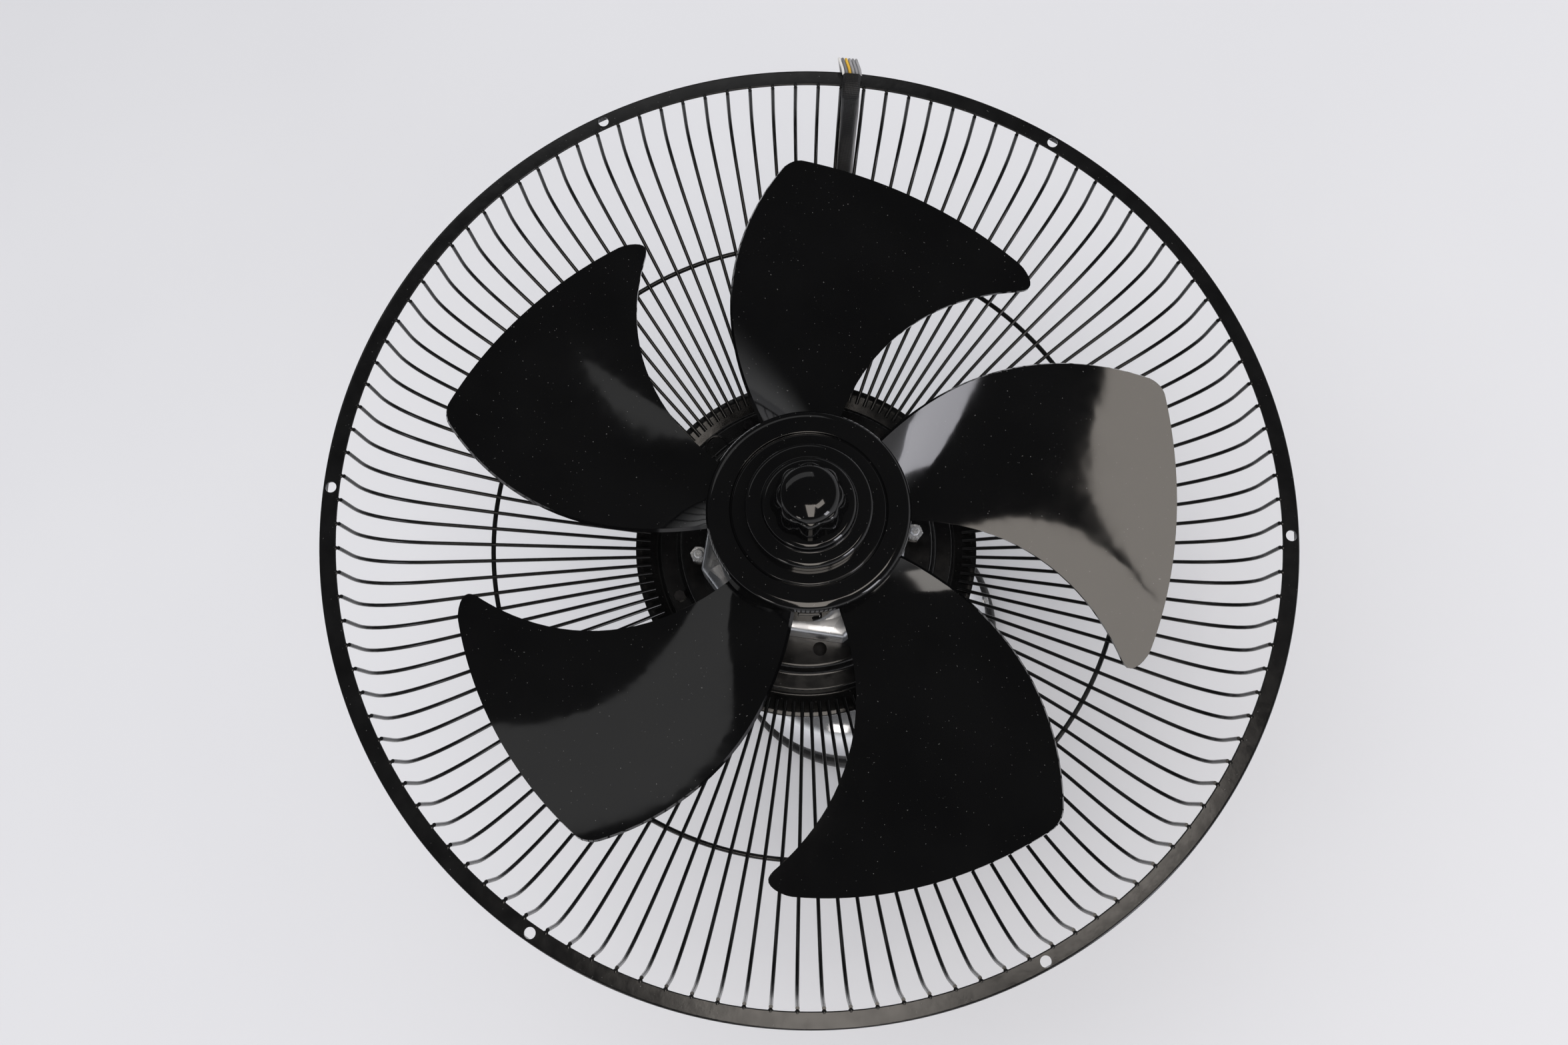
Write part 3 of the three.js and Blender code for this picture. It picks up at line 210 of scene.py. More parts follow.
plainSteel = finish("plainSteel", (0.34, 0.34, 0.36), (0.46, 0.46, 0.48), (0.26, 0.42), metal=1,
                    grain=180, ripple=(1200, 0.00002))
darkSteel = finish("blackenedSteel", (0.02, 0.02, 0.021), (0.04, 0.04, 0.042), (0.3, 0.45), metal=1,
                   grain=180, ripple=(1200, 0.00002))
bronze = finish("sinteredBronze", (0.36, 0.21, 0.09), (0.5, 0.31, 0.14), (0.35, 0.5), metal=1,
                grain=400, ripple=(1600, 0.00004))
whiteNylon = finish("whiteNylon", (0.66, 0.64, 0.58), (0.74, 0.72, 0.67), (0.4, 0.52),
                    grain=80, ripple=(700, 0.00003))
rubber = finish("mattRubber", (0.01, 0.01, 0.01), (0.018, 0.018, 0.018), (0.7, 0.85),
                grain=200, ripple=(1200, 0.00004))
braid = braidFinish()
galvanised = galvanisedFinish()
winding = windingFinish()
leadTones = [(0.7, 0.69, 0.68), (0.17, 0.17, 0.18), (0.66, 0.4, 0.035),
             (0.28, 0.28, 0.29), (0.25, 0.25, 0.26), (0.29, 0.29, 0.3)]
leadFinishes = [finish(f"leadInsulation{k + 1}", tuple(c * 0.88 for c in tone), tone, (0.3, 0.42),
                       grain=250, ripple=(1500, 0.00002)) for k, tone in enumerate(leadTones)]
print("materials made")


# ---- making meshes
def newObject(name, mesh):
    made = bpy.data.objects.new(name, mesh)
    bpy.context.scene.collection.objects.link(made)
    return made


def fromBmesh(name, shape, material, sharp=32):
    bmesh.ops.remove_doubles(shape, verts=shape.verts, dist=1e-6)
    bmesh.ops.recalc_face_normals(shape, faces=shape.faces)
    mesh = bpy.data.meshes.new(name)
    shape.to_mesh(mesh)
    shape.free()
    mesh.materials.append(material)
    smoothed(mesh, sharp)
    return newObject(name, mesh)


def smoothed(mesh, sharp):
    mesh.polygons.foreach_set("use_smooth", [True] * len(mesh.polygons))
    mesh.set_sharp_from_angle(angle=math.radians(sharp))
    mesh.update()


def settled(made, sharp=None):
    # turns an object and its modifiers into a plain mesh
    graph = bpy.context.evaluated_depsgraph_get()
    graph.update()
    mesh = bpy.data.meshes.new_from_object(made.evaluated_get(graph), preserve_all_data_layers=True,
                                           depsgraph=graph)
    made.modifiers.clear()
    made.data = mesh
    if sharp is not None:
        smoothed(mesh, sharp)


def evenShaded(made):
    # flat faces keep a flat shade and the fillets take the turn
    modifier = made.modifiers.new("evenNormals", "WEIGHTED_NORMAL")
    modifier.mode = "FACE_AREA"
    modifier.keep_sharp = True
    settled(made)


def seated(made, place, body, slot, *nodes):
    # puts a piece in its place in the shared frame, parents it to its body, and hides the CAD nodes it stands
    # in for
    made.data.transform(place)
    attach(made, body)
    if nodes:
        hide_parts(*nodes)


def bend(start, corner, end, share):
    # a point on the curve from start to end that leans towards the corner
    return start * (1 - share) ** 2 + corner * 2 * share * (1 - share) + end * share ** 2


def filleted(outline, steps=4):
    # rounds the corners of a closed outline; a corner is (radius, height) or (radius, height, fillet)
    points = []
    count = len(outline)
    for k, corner in enumerate(outline):
        here = Vector(corner[:2])
        size = corner[2] if len(corner) > 2 else 0
        toBefore = Vector(outline[k - 1][:2]) - here
        toAfter = Vector(outline[(k + 1) % count][:2]) - here
        if size <= 0 or toBefore.length < 1e-6 or toAfter.length < 1e-6:
            points.append(here)
            continue
        reach = min(size, toBefore.length * 0.49, toAfter.length * 0.49)
        start = here + toBefore.normalized() * reach
        end = here + toAfter.normalized() * reach
        points += [bend(start, here, end, step / steps) for step in range(steps + 1)]
    return points


def onRing(shape, radius, angle, height):
    return shape.verts.new((radius * mm * math.cos(angle), radius * mm * math.sin(angle), height * mm))


def lathe(name, outline, material, sides=160, sharp=32, steps=4):
    # a solid of revolution about Z from a closed outline in millimetres
    points = filleted(outline, steps)
    shape = bmesh.new()
    rings = []
    for k in range(sides):
        angle = 2 * math.pi * k / sides
        rings.append([onRing(shape, p.x, angle, p.y) for p in points])
    for k in range(sides):
        here, after = rings[k], rings[(k + 1) % sides]
        for j in range(len(points)):
            n = (j + 1) % len(points)
            if points[j].x < 1e-6 and points[n].x < 1e-6:
                continue
            shape.faces.new((here[j], after[j], after[n], here[n]))
    bmesh.ops.remove_doubles(shape, verts=shape.verts, dist=1e-7)
    bmesh.ops.dissolve_degenerate(shape, dist=1e-7, edges=shape.edges)
    return fromBmesh(name, shape, material, sharp)


def post(name, radius, bottom, top, sides, at=(0, 0)):
    # a round cutter
    shape = bmesh.new()
    bmesh.ops.create_cone(shape, cap_ends=True, segments=sides, radius1=radius * mm, radius2=radius * mm,
                          depth=(top - bottom) * mm,
                          matrix=Matrix.Translation((at[0] * mm, at[1] * mm, (bottom + top) / 2 * mm)))
    return fromBmesh(name, shape, satinBlack)


def polar(radius, angle):
    return (radius * math.cos(math.radians(angle)), radius * math.sin(math.radians(angle)))


def standAt(radius, angle):
    x, y = polar(radius, angle)
    return Matrix.Translation((x * mm, y * mm, 0))


def bridged(shape, rings, around=False):
    # faces from each ring to the next; around joins the last ring to the first, or else both ends are capped
    for k in range(len(rings) if around else len(rings) - 1):
        here, after = rings[k], rings[(k + 1) % len(rings)]
        for j in range(len(here)):
            n = (j + 1) % len(here)
            shape.faces.new((here[j], here[n], after[n], after[j]))
    if not around:
        shape.faces.new(list(reversed(rings[0])))
        shape.faces.new(rings[-1])


def cutBy(made, cutters, sharp):
    for cutter in cutters:
        modifier = made.modifiers.new("cut", "BOOLEAN")
        modifier.operation = "DIFFERENCE"
        modifier.solver = "EXACT"
        modifier.object = cutter
    settled(made, sharp)
    for cutter in cutters:
        bpy.data.objects.remove(cutter)


def newTree(name, inputs):
    # a tree with a mesh in, a mesh out and these further inputs, whose identifiers it returns
    tree = bpy.data.node_groups.new(name, "GeometryNodeTree")
    face = tree.interface
    face.new_socket("Geometry", in_out="INPUT", socket_type="NodeSocketGeometry")
    marks = {label: face.new_socket(label, in_out="INPUT", socket_type="NodeSocket" + kind).identifier
             for label, kind in inputs}
    face.new_socket("Geometry", in_out="OUTPUT", socket_type="NodeSocketGeometry")
    return tree, tree.nodes.new("NodeGroupInput"), tree.nodes.new("NodeGroupOutput"), marks


def polarTree():
    # copies of the object's own mesh, spaced evenly round Z
    tree, given, result, marks = newTree("copiesRoundAxis", copiesInputs)
    nodes, links = tree.nodes, tree.links
    line = nodes.new("GeometryNodeMeshLine")
    line.inputs["Offset"].default_value = (0, 0, 0)
    index = nodes.new("GeometryNodeInputIndex")
    step = nodes.new("ShaderNodeMath")
    step.operation = "DIVIDE"
    step.inputs[0].default_value = 2 * math.pi
    turn = nodes.new("ShaderNodeMath")
    turn.operation = "MULTIPLY_ADD"
    spin = nodes.new("ShaderNodeCombineXYZ")
    copies = nodes.new("GeometryNodeInstanceOnPoints")
    real = nodes.new("GeometryNodeRealizeInstances")
    paint = nodes.new("GeometryNodeSetMaterial")
    links.new(given.outputs["Count"], line.inputs["Count"])
    links.new(given.outputs["Count"], step.inputs[1])
    links.new(index.outputs[0], turn.inputs[0])
    links.new(step.outputs[0], turn.inputs[1])
    links.new(given.outputs["Start angle"], turn.inputs[2])
    links.new(turn.outputs[0], spin.inputs["Z"])
    links.new(line.outputs["Mesh"], copies.inputs["Points"])
    links.new(given.outputs["Geometry"], copies.inputs["Instance"])
    links.new(spin.outputs[0], copies.inputs["Rotation"])
    links.new(copies.outputs["Instances"], real.inputs["Geometry"])
    links.new(real.outputs["Geometry"], paint.inputs["Geometry"])
    links.new(given.outputs["Material"], paint.inputs["Material"])
    links.new(paint.outputs["Geometry"], result.inputs["Geometry"])
    return tree, marks


copiesInputs = (("Count", "Int"), ("Start angle", "Float"), ("Material", "Material"))
copiesTree, copiesMarks = polarTree()


def copiedRound(made, count, startDegrees, material, sharp):
    modifier = made.modifiers.new("copies", "NODES")
    modifier.node_group = copiesTree
    modifier[copiesMarks["Count"]] = count
    modifier[copiesMarks["Start angle"]] = math.radians(startDegrees)
    modifier[copiesMarks["Material"]] = material
    settled(made, sharp)


def joinedTo(made, others, material, sharp):
    # one object of several, in one finish
    shape = bmesh.new()
    shape.from_mesh(made.data)
    for other in others:
        shape.from_mesh(other.data)
        bpy.data.objects.remove(other)
    mesh = bpy.data.meshes.new(made.name)
    shape.to_mesh(mesh)
    shape.free()
    mesh.materials.append(material)
    mesh.polygons.foreach_set("material_index", [0] * len(mesh.polygons))
    made.data = mesh
    smoothed(mesh, sharp)


def smoothPath(points):
    # a Catmull-Rom line through the chosen points, with eight steps from each to the next
    between = 8
    at = [Vector(p) for p in points]
    at = [at[0] * 2 - at[1], *at, at[-1] * 2 - at[-2]]
    line = []
    for k in range(1, len(at) - 2):
        for step in range(between):
            t = step / between
            a, b, c, d = at[k - 1], at[k], at[k + 1], at[k + 2]
            line.append(0.5 * (2 * b + (c - a) * t + (2 * a - 5 * b + 4 * c - d) * t * t
                               + (3 * b - a - 3 * c + d) * t ** 3))
    line.append(at[-2])
    return line


def sweep(name, line, section, material, widths=None):
    # carries a closed section (across, thick) along a line in millimetres, with a map in metres;
    # widths gives the share of the full width at each point of the line
    side = Vector((0, 1, 0))
    shape = bmesh.new()
    layer = shape.loops.layers.uv.new("UVMap")
    rings, runs, run = [], [], 0.0
    for k, here in enumerate(line):
        ahead = (line[min(k + 1, len(line) - 1)] - line[max(k - 1, 0)]).normalized()
        across = (side - ahead * side.dot(ahead)).normalized()
        thick = ahead.cross(across)
        if k:
            run += (here - line[k - 1]).length
        runs.append(run * mm)
        wide = widths[k] if widths else 1
        rings.append([shape.verts.new((here + across * a * wide + thick * b) * mm) for a, b in section])
    girth = [0.0]
    for k in range(len(section)):
        girth.append(girth[-1] + (Vector(section[(k + 1) % len(section)]) - Vector(section[k])).length * mm)
    for k in range(len(rings) - 1):
        for j in range(len(section)):
            n = (j + 1) % len(section)
            face = shape.faces.new((rings[k][j], rings[k][n], rings[k + 1][n], rings[k + 1][j]))
            marks = ((girth[j], runs[k]), (girth[j + 1], runs[k]), (girth[j + 1], runs[k + 1]),
                     (girth[j], runs[k + 1]))
            for loop, mark in zip(face.loops, marks):
                loop[layer].uv = mark
    shape.faces.new(list(reversed(rings[0])))
    shape.faces.new(rings[-1])
    return fromBmesh(name, shape, material, 60)


def roundSection(radius, sides):
    return [(radius * math.cos(2 * math.pi * k / sides), radius * math.sin(2 * math.pi * k / sides))
            for k in range(sides)]


# ---- canopy, base ring, downrod and ball shroud
canopy = {"radius": 86, "wall": 1.4, "bottom": 8.3, "skirt": 8, "height": 56, "collar": 5, "collarBore": 12.9,
          "bulge": 0.8, "arcSteps": 18, "screwAngles": (10, 190), "screwHeight": 12.3, "screwHole": 2.3}
baseRing = {"inner": 84.6, "outer": 90, "shoulder": 6, "crown": 88, "top": 8}


def domeArc(edge, top, collar, skirtTop):
    arc = []
    for k in range(canopy["arcSteps"]):
        angle = (k / canopy["arcSteps"]) * math.pi / 2
        out = collar + (edge - collar) * math.cos(angle) ** canopy["bulge"]
        arc.append((out, skirtTop + (top - skirtTop) * math.sin(angle)))
    return arc


def makeCanopy():
    s = canopy
    inner = s["radius"] - s["wall"]
    collarIn = s["collarBore"]
    collarOut = collarIn + s["wall"]
    skirtTop = s["bottom"] + s["skirt"]
    outline = [(s["radius"], s["bottom"], 0.5)]
    outline += domeArc(s["radius"], s["height"], collarOut, skirtTop)
    outline += [(collarOut, s["height"]), (collarOut, s["height"] + s["collar"], 0.5),
                (collarIn, s["height"] + s["collar"], 0.5), (collarIn, s["height"] - s["wall"])]
    outline += domeArc(inner, s["height"] - s["wall"], collarOut, skirtTop)[::-1]
    outline += [(inner, s["bottom"], 0.3)]
    dome = lathe("canopyDome", outline, mirrorPlate, 192, 50)
    cutters = []
    for angle in s["screwAngles"]:
        cutter = post("canopyHole", s["screwHole"], s["radius"] - 16, s["radius"] + 9, 24)
        cutter.data.transform(Matrix.Rotation(math.radians(angle), 4, "Z")
                              @ Matrix.Translation((0, 0, s["screwHeight"] * mm))
                              @ Matrix.Rotation(math.pi / 2, 4, "Y"))
        cutters.append(cutter)
    cutBy(dome, cutters, 50)
    seated(dome, mountFrame, "mount", "polished_dome", "canopy")
    r = baseRing
    ring = lathe("baseRing", [(r["inner"], 0, 0.4), (r["outer"], 0, 0.8), (r["outer"], r["shoulder"], 1.6),
                              (r["crown"], r["top"], 1.2), (r["inner"], r["top"], 0.4)], satinBlack, 192, 40)
    seated(ring, mountFrame, "mount", "black_plastic", "base_ring")


makeCanopy()

downrod = {"bottom": 44.7, "flangeTop": 47.7, "top": 113.06, "bore": 8, "radius": 12, "flange": 30,
           "bolts": (100, 220, 340), "boltCircle": 21, "boltHole": 2.8}
shroud = {"outer": 34.0, "inner": 31.5, "hole": 12.3, "openAngle": math.radians(30), "floor": 112.76,
          "arcSteps": 16}


def makeDownrod():
    r = downrod
    radius, seat = r["radius"], r["flangeTop"]
    rod = lathe("downTube", [(r["bore"], r["bottom"], 0.3), (r["flange"], r["bottom"], 0.5),
                             (r["flange"], seat, 0.8), (radius + 1.5, seat, 0.6), (radius, seat + 1.5, 0.8),
                             (radius, r["top"], 0.5), (r["bore"], r["top"], 0.3)], enamelBlack, 96, 40)
    cutBy(rod, [post("rodHole", r["boltHole"], r["bottom"] - 4, seat + 1, 24, polar(r["boltCircle"], angle))
                for angle in r["bolts"]], 40)
    seated(rod, mountFrame, "mount", "black_paint", "downrod")


def shroudArc(radius, start, end):
    steps = shroud["arcSteps"]
    angles = [start + (end - start) * k / steps for k in range(steps + 1)]
    return [(radius * math.sin(a), pivotHeight - radius * math.cos(a)) for a in angles]


def makeShroud():
    b = shroud
    seat = pivotHeight - b["outer"] * math.cos(b["openAngle"])
    innerStart = math.acos((pivotHeight - b["floor"]) / b["inner"])
    ball = lathe("ballShroud", [(b["hole"], seat, 0.3), *shroudArc(b["outer"], b["openAngle"], math.pi / 2),
                                *shroudArc(b["inner"], math.pi / 2, innerStart),
                                (b["hole"], b["floor"], 0.3)], glossBlack, 160, 40)
    seated(ball, mountFrame, "mount", "black_gloss", "ball_shroud")


makeDownrod()
makeShroud()
print("canopy and downrod made")


# ---- wire cage: its wires, support ring, flat rim and weld beads
cage = {"wires": 120, "radius": 1.0, "sides": 8, "innerRadius": 87.0, "slope": 0.287, "innerHeight": 34.6,
        "outerRadius": 230.5, "bowlStart": 198.0, "bowlTop": 101.0, "rimTop": 120.0, "rimRadius": 240.0,
        "rimWidth": 8.2, "rimSheet": 1.2, "rimLip": 4.5, "ringRadius": 169.0, "ringRod": 1.3,
        "holes": 6, "holeRadius": 2.7, "holeCircle": 235.9, "holeStart": -3.0, "beadAngle": 1.5,
        "seamAngle": 125}


def wireHeight(radius):
    return cage["innerHeight"] + (radius - cage["innerRadius"]) * cage["slope"]


def wirePath():
    outer, low = cage["outerRadius"], Vector((cage["innerRadius"], 0, cage["innerHeight"]))
    start = Vector((cage["bowlStart"], 0, wireHeight(cage["bowlStart"])))
    corner = Vector((outer, 0, wireHeight(outer)))
    end = Vector((outer, 0, cage["bowlTop"]))
    path = [low + (start - low) * k / 4 for k in range(4)]
    path += [bend(start, corner, end, k / 10) for k in range(11)]
    path.append(Vector((outer, 0, cage["rimTop"] - 9)))
    path.append(Vector((outer, 0, cage["rimTop"] - cage["rimSheet"] / 2)))
    return path


def cageTree():
    # one chain of edges becomes a round wire, and is repeated round Z
    tree, given, result, marks = newTree("radialWires", (("Wire radius", "Float"), ("Wire sides", "Int"),
                                                         *copiesInputs))
    nodes, links = tree.nodes, tree.links
    toCurve = nodes.new("GeometryNodeMeshToCurve")
    circle = nodes.new("GeometryNodeCurvePrimitiveCircle")
    tube = nodes.new("GeometryNodeCurveToMesh")
    tube.inputs["Fill Caps"].default_value = True
    again = nodes.new("GeometryNodeGroup")
    again.node_tree = copiesTree
    links.new(given.outputs["Geometry"], toCurve.inputs["Mesh"])
    links.new(given.outputs["Wire radius"], circle.inputs["Radius"])
    links.new(given.outputs["Wire sides"], circle.inputs["Resolution"])
    links.new(toCurve.outputs["Curve"], tube.inputs["Curve"])
    links.new(circle.outputs["Curve"], tube.inputs["Profile Curve"])
    links.new(tube.outputs["Mesh"], again.inputs["Geometry"])
    for label in copiesMarks:
        links.new(given.outputs[label], again.inputs[label])
    links.new(again.outputs["Geometry"], result.inputs["Geometry"])
    return tree, marks


def makeCage():
    path = wirePath()
    mesh = bpy.data.meshes.new("cageWires")
    mesh.from_pydata([p * mm for p in path], [(k, k + 1) for k in range(len(path) - 1)], [])
    wires = newObject("cageWires", mesh)
    tree, inputs = cageTree()
    modifier = wires.modifiers.new("radialWires", "NODES")
    modifier.node_group = tree
    modifier[inputs["Wire radius"]] = cage["radius"] * mm
    modifier[inputs["Wire sides"]] = cage["sides"]
    modifier[inputs["Count"]] = cage["wires"]
    modifier[inputs["Start angle"]] = math.radians(cage["beadAngle"])
    modifier[inputs["Material"]] = wireBlack
    settled(wires, 50)
    height = wireHeight(cage["ringRadius"]) - cage["radius"] - cage["ringRod"] + 0.7
    section = roundSection(cage["ringRod"], 12)
    ring = lathe("cageRing", [(cage["ringRadius"] + a, height + b) for a, b in section], wireBlack, 240, 60)
    joinedTo(wires, [ring], wireBlack, 50)
    seated(wires, headFrame, "head", "black_paint", "guard_wires")


makeCage()


def makeRim():
    top, outer = cage["rimTop"], cage["rimRadius"]
    inner, sheet, lip = outer - cage["rimWidth"], cage["rimSheet"], cage["rimLip"]
    rim = lathe("cageRim", [(inner, top - sheet, 0.35), (outer - sheet - 0.2, top - sheet, 0.4),
                            (outer - sheet, top - lip, 0.3), (outer, top - lip, 0.4), (outer, top, 1.3),
                            (inner, top, 0.45)], enamelBlack, 300, 30)
    cutters = []
    for k in range(cage["holes"]):
        place = polar(cage["holeCircle"], cage["holeStart"] + 60 * k)
        cutters.append(post("rimHole", cage["holeRadius"], top - 4, top + 2, 28, place))
    seam = post("rimSeam", 1, top - 0.12, top + 2, 4)
    seam.data.transform(Matrix.Rotation(math.radians(cage["seamAngle"]), 4, "Z")
                        @ Matrix.Translation(((inner + outer) / 2 * mm, 0, 0))
                        @ Matrix.Diagonal((5, 0.09, 1, 1)))
    cutters.append(seam)
    cutBy(rim, cutters, 30)
    bead = bmesh.new()
    bmesh.ops.create_uvsphere(bead, u_segments=10, v_segments=6, radius=1.0 * mm,
                              matrix=Matrix.Translation(((inner + 0.35) * mm, 0, (top - 0.5) * mm))
                              @ Matrix.Diagonal((1.35, 1.25, 0.6, 1)))
    beads = fromBmesh("weldBeads", bead, enamelBlack, 60)
    copiedRound(beads, cage["wires"], cage["beadAngle"], enamelBlack, 60)
    seated(beads, headFrame, "head", "black_paint")
    evenShaded(rim)
    seated(rim, headFrame, "head", "black_paint", "guard_rim")


makeRim()
print("cage made")


# ---- base plate behind the wires
plate = {"opening": 46, "plateau": 69, "step": 71.5, "annulus": 80.7, "edge": 95, "top": 44, "low": 37,
         "sheet": 1.2, "bolts": (4.5, 187.5), "boltCircle": 59.5, "screws": (57, 115.5, 202.8),
         "screwCircle": 75.5, "holeAngle": 276.8, "grommet": 61.7, "grommetAngle": 84.2, "ringAngle": 131.7,
         "ringRadius": 6.8}


def borderTop(radius):
    return wireHeight(radius) - cage["radius"] - 0.6


def makeBasePlate():
    p = plate
    edge, annulus, low, sheet = p["edge"], p["annulus"], p["low"], p["sheet"]
    step, plateau, top = p["step"], p["plateau"], p["top"]
    bead = edge - 3
    start = annulus + 2
    pan = lathe("basePan", [
        (p["opening"], top - sheet, 0.2), (plateau - 1, top - sheet, 1.2), (step - 1, low - sheet, 1.2),
        (annulus - 0.4, low - sheet, 0.8), (start, borderTop(start) - sheet, 1),
        (bead, borderTop(bead) - sheet, 0.5), (bead, borderTop(bead) - 4.2, 0.5),
        (edge, borderTop(edge) - 4.2, 0.8), (edge, borderTop(edge) - 1.2, 0.8), (bead, borderTop(bead), 1),
        (start, borderTop(start), 1), (annulus, low, 0.8), (step, low, 1.4), (plateau, top, 1.6),
        (p["opening"], top, 0.5)], enamelBlack, 240, 40, 5)
    cutters = [post("panHole", 3.75, 40, 47, 32, polar(p["boltCircle"], p["holeAngle"])),
               post("panGrommet", 6.3, 40, 47, 32, polar(p["grommet"], p["grommetAngle"]))]
    cutters += [post("panBolt", 2.8, 40, 47, 24, polar(p["boltCircle"], a)) for a in p["bolts"]]
    cutters += [post("panScrew", 1.9, 33, 40, 24, polar(p["screwCircle"], a)) for a in p["screws"]]
    cutBy(pan, cutters, 40)
    outer = p["ringRadius"]
    inner = outer - 1.4
    ring = lathe("panRing", [(inner, low - 0.6, 0.1), (outer, low - 0.6, 0.1), (outer, low + 0.8, 0.6),
                             (inner, low + 0.8, 0.6)], enamelBlack, 48, 40)
    ring.data.transform(standAt(annulus - inner, p["ringAngle"]))
    joinedTo(pan, [ring], enamelBlack, 40)
    evenShaded(pan)
    seated(pan, headFrame, "head", "black_paint", "base_plate")


makeBasePlate()


# ---- rear cover: a bowl that closes round the ball shroud
rearCover = {"outer": 80.0, "wall": 1.5, "top": 35.5, "straight": 12.0, "sphere": 35.5,
             "openAngle": math.radians(58), "boss": 4.0, "bossBore": 1.85, "bossDepth": 12, "arcSteps": 18}


def coverBowl(inset):
    c = rearCover
    openHeight = -c["sphere"] * math.cos(c["openAngle"])
    rim = Vector((c["outer"] - inset, c["top"] - c["straight"]))
    waist = Vector((c["outer"] - inset - 2, openHeight + 6 + inset))
    mouth = Vector((c["sphere"] * math.sin(c["openAngle"]) + 1 + inset, openHeight - 1 + inset))
    return [tuple(bend(rim, waist, mouth, k / c["arcSteps"])) for k in range(c["arcSteps"] + 1)]


def makeRearCover():
    c = rearCover
    outer, wall, top, bore = c["outer"], c["wall"], c["top"], c["bossBore"]
    lip = (c["sphere"] * math.sin(c["openAngle"]), -c["sphere"] * math.cos(c["openAngle"]))
    cover = lathe("rearCover", [(outer, top, 0.4), *coverBowl(0), lip, *coverBowl(wall)[::-1],
                                (outer - wall, top, 0.3)], glossBlack, 192, 50)
    bosses = []
    for angle in plate["screws"]:
        boss = lathe("coverBoss", [(bore, top - c["bossDepth"], 0.2), (c["boss"], top - c["bossDepth"], 0.5),
                                   (c["boss"], top, 0.3), (bore, top, 0.2)], glossBlack, 32, 40)
        boss.data.transform(standAt(plate["screwCircle"] - 0.7, angle))
        bosses.append(boss)
    joinedTo(cover, bosses, glossBlack, 50)
    seated(cover, headFrame, "head", "black_gloss", "rear_cover")


makeRearCover()


# ---- fan motor's front shell: a pressed box with its corners cut, and a round turret
motor = {"half": 52.8, "flat": 27.0, "turn": -8.3, "bottom": 44.3, "top": 68.3, "turret": 30.0,
         "turretTop": 83.3}


def makeMotorShell():
    half, flat = motor["half"], motor["flat"]
    corners = [(half, -flat), (half, flat), (flat, half), (-flat, half),
               (-half, flat), (-half, -flat), (-flat, -half), (flat, -half)]

    def octagon(inset, height):
        share = (half - inset) / half
        return [Vector((x * share * mm, y * share * mm, height * mm)) for x, y in corners]

    shape = bmesh.new()
    low, high = motor["bottom"], motor["top"]
    outside = [octagon(0, low), octagon(0, high - 3.5), octagon(0.8, high - 1.4), octagon(2.6, high - 0.2),
               octagon(5, high), octagon(20, high)]
    inside = [octagon(20, high - 1.5), octagon(5, high - 1.5), octagon(1.5, high - 3.5), octagon(1.5, low)]
    bridged(shape, [[shape.verts.new(p) for p in level] for level in [*outside, *inside]], True)
    box = fromBmesh("motorShell", shape, galvanised, 30)
    bevel = box.modifiers.new("soften", "BEVEL")
    bevel.width = 1.6 * mm
    bevel.segments = 3
    bevel.limit_method = "ANGLE"
    bevel.angle_limit = math.radians(38)
    settled(box, 40)
    box.data.transform(Matrix.Rotation(math.radians(motor["turn"]), 4, "Z"))
    base, top, radius = high - 1.3, motor["turretTop"], motor["turret"]
    turret = lathe("motorTurret", [(9.3, top, 0.6), (radius - 3.5, top, 0.9), (radius - 1.5, top - 2, 1.4),
                                   (radius, base + 1.3, 1.0), (radius + 8, base + 1.25, 0.2),
                                   (radius + 8, base, 0.2), (radius - 3, base, 0.4),
                                   (radius - 3, top - 3.5, 0.8), (11.5, top - 3.5, 0.4),
                                   (11.5, top - 5.5, 0.4), (9.3, top - 5.5, 0.4)], galvanised, 128, 35)
    joinedTo(box, [turret], galvanised, 38)
    evenShaded(box)
    seated(box, headFrame, "head", "galvanised_motor", "motor_front_shell")


makeMotorShell()
print("head made")


# ---- impeller: drum, boss and five bent blades
impeller = {"hub": 50.5, "front": 126.0, "depth": 36.0, "wall": 2.2, "bevel": 3.5, "groove": 38.0,
            "boss": 9.0, "bore": 4.3, "bossBottom": 97.0, "blades": 5, "tip": 190.0, "taper": 5.6,
            "blunt": (0.045, 5.0), "nose": (0.056, 7.0), "noseTurn": (0.876, 632), "thickness": 2.2,
            "trailingRoot": 117.0, "trailingSweep": 24.5, "leadingRoot": 73.5, "leadingSweep": 31.0,
            "inset": 5.0, "rootDrop": 28.0, "tipDrop": 34.0, "tipRear": 3.0, "camber": 7.0,
            "chordSteps": 40, "spanSteps": 34}


def cornerDrop(distance, corner):
    # how much a rounded corner takes off the tip, at this share of the chord from the side edge
    reach, radius = corner
    return radius * (1 - math.sqrt(1 - max(0, 1 - distance / reach) ** 2))


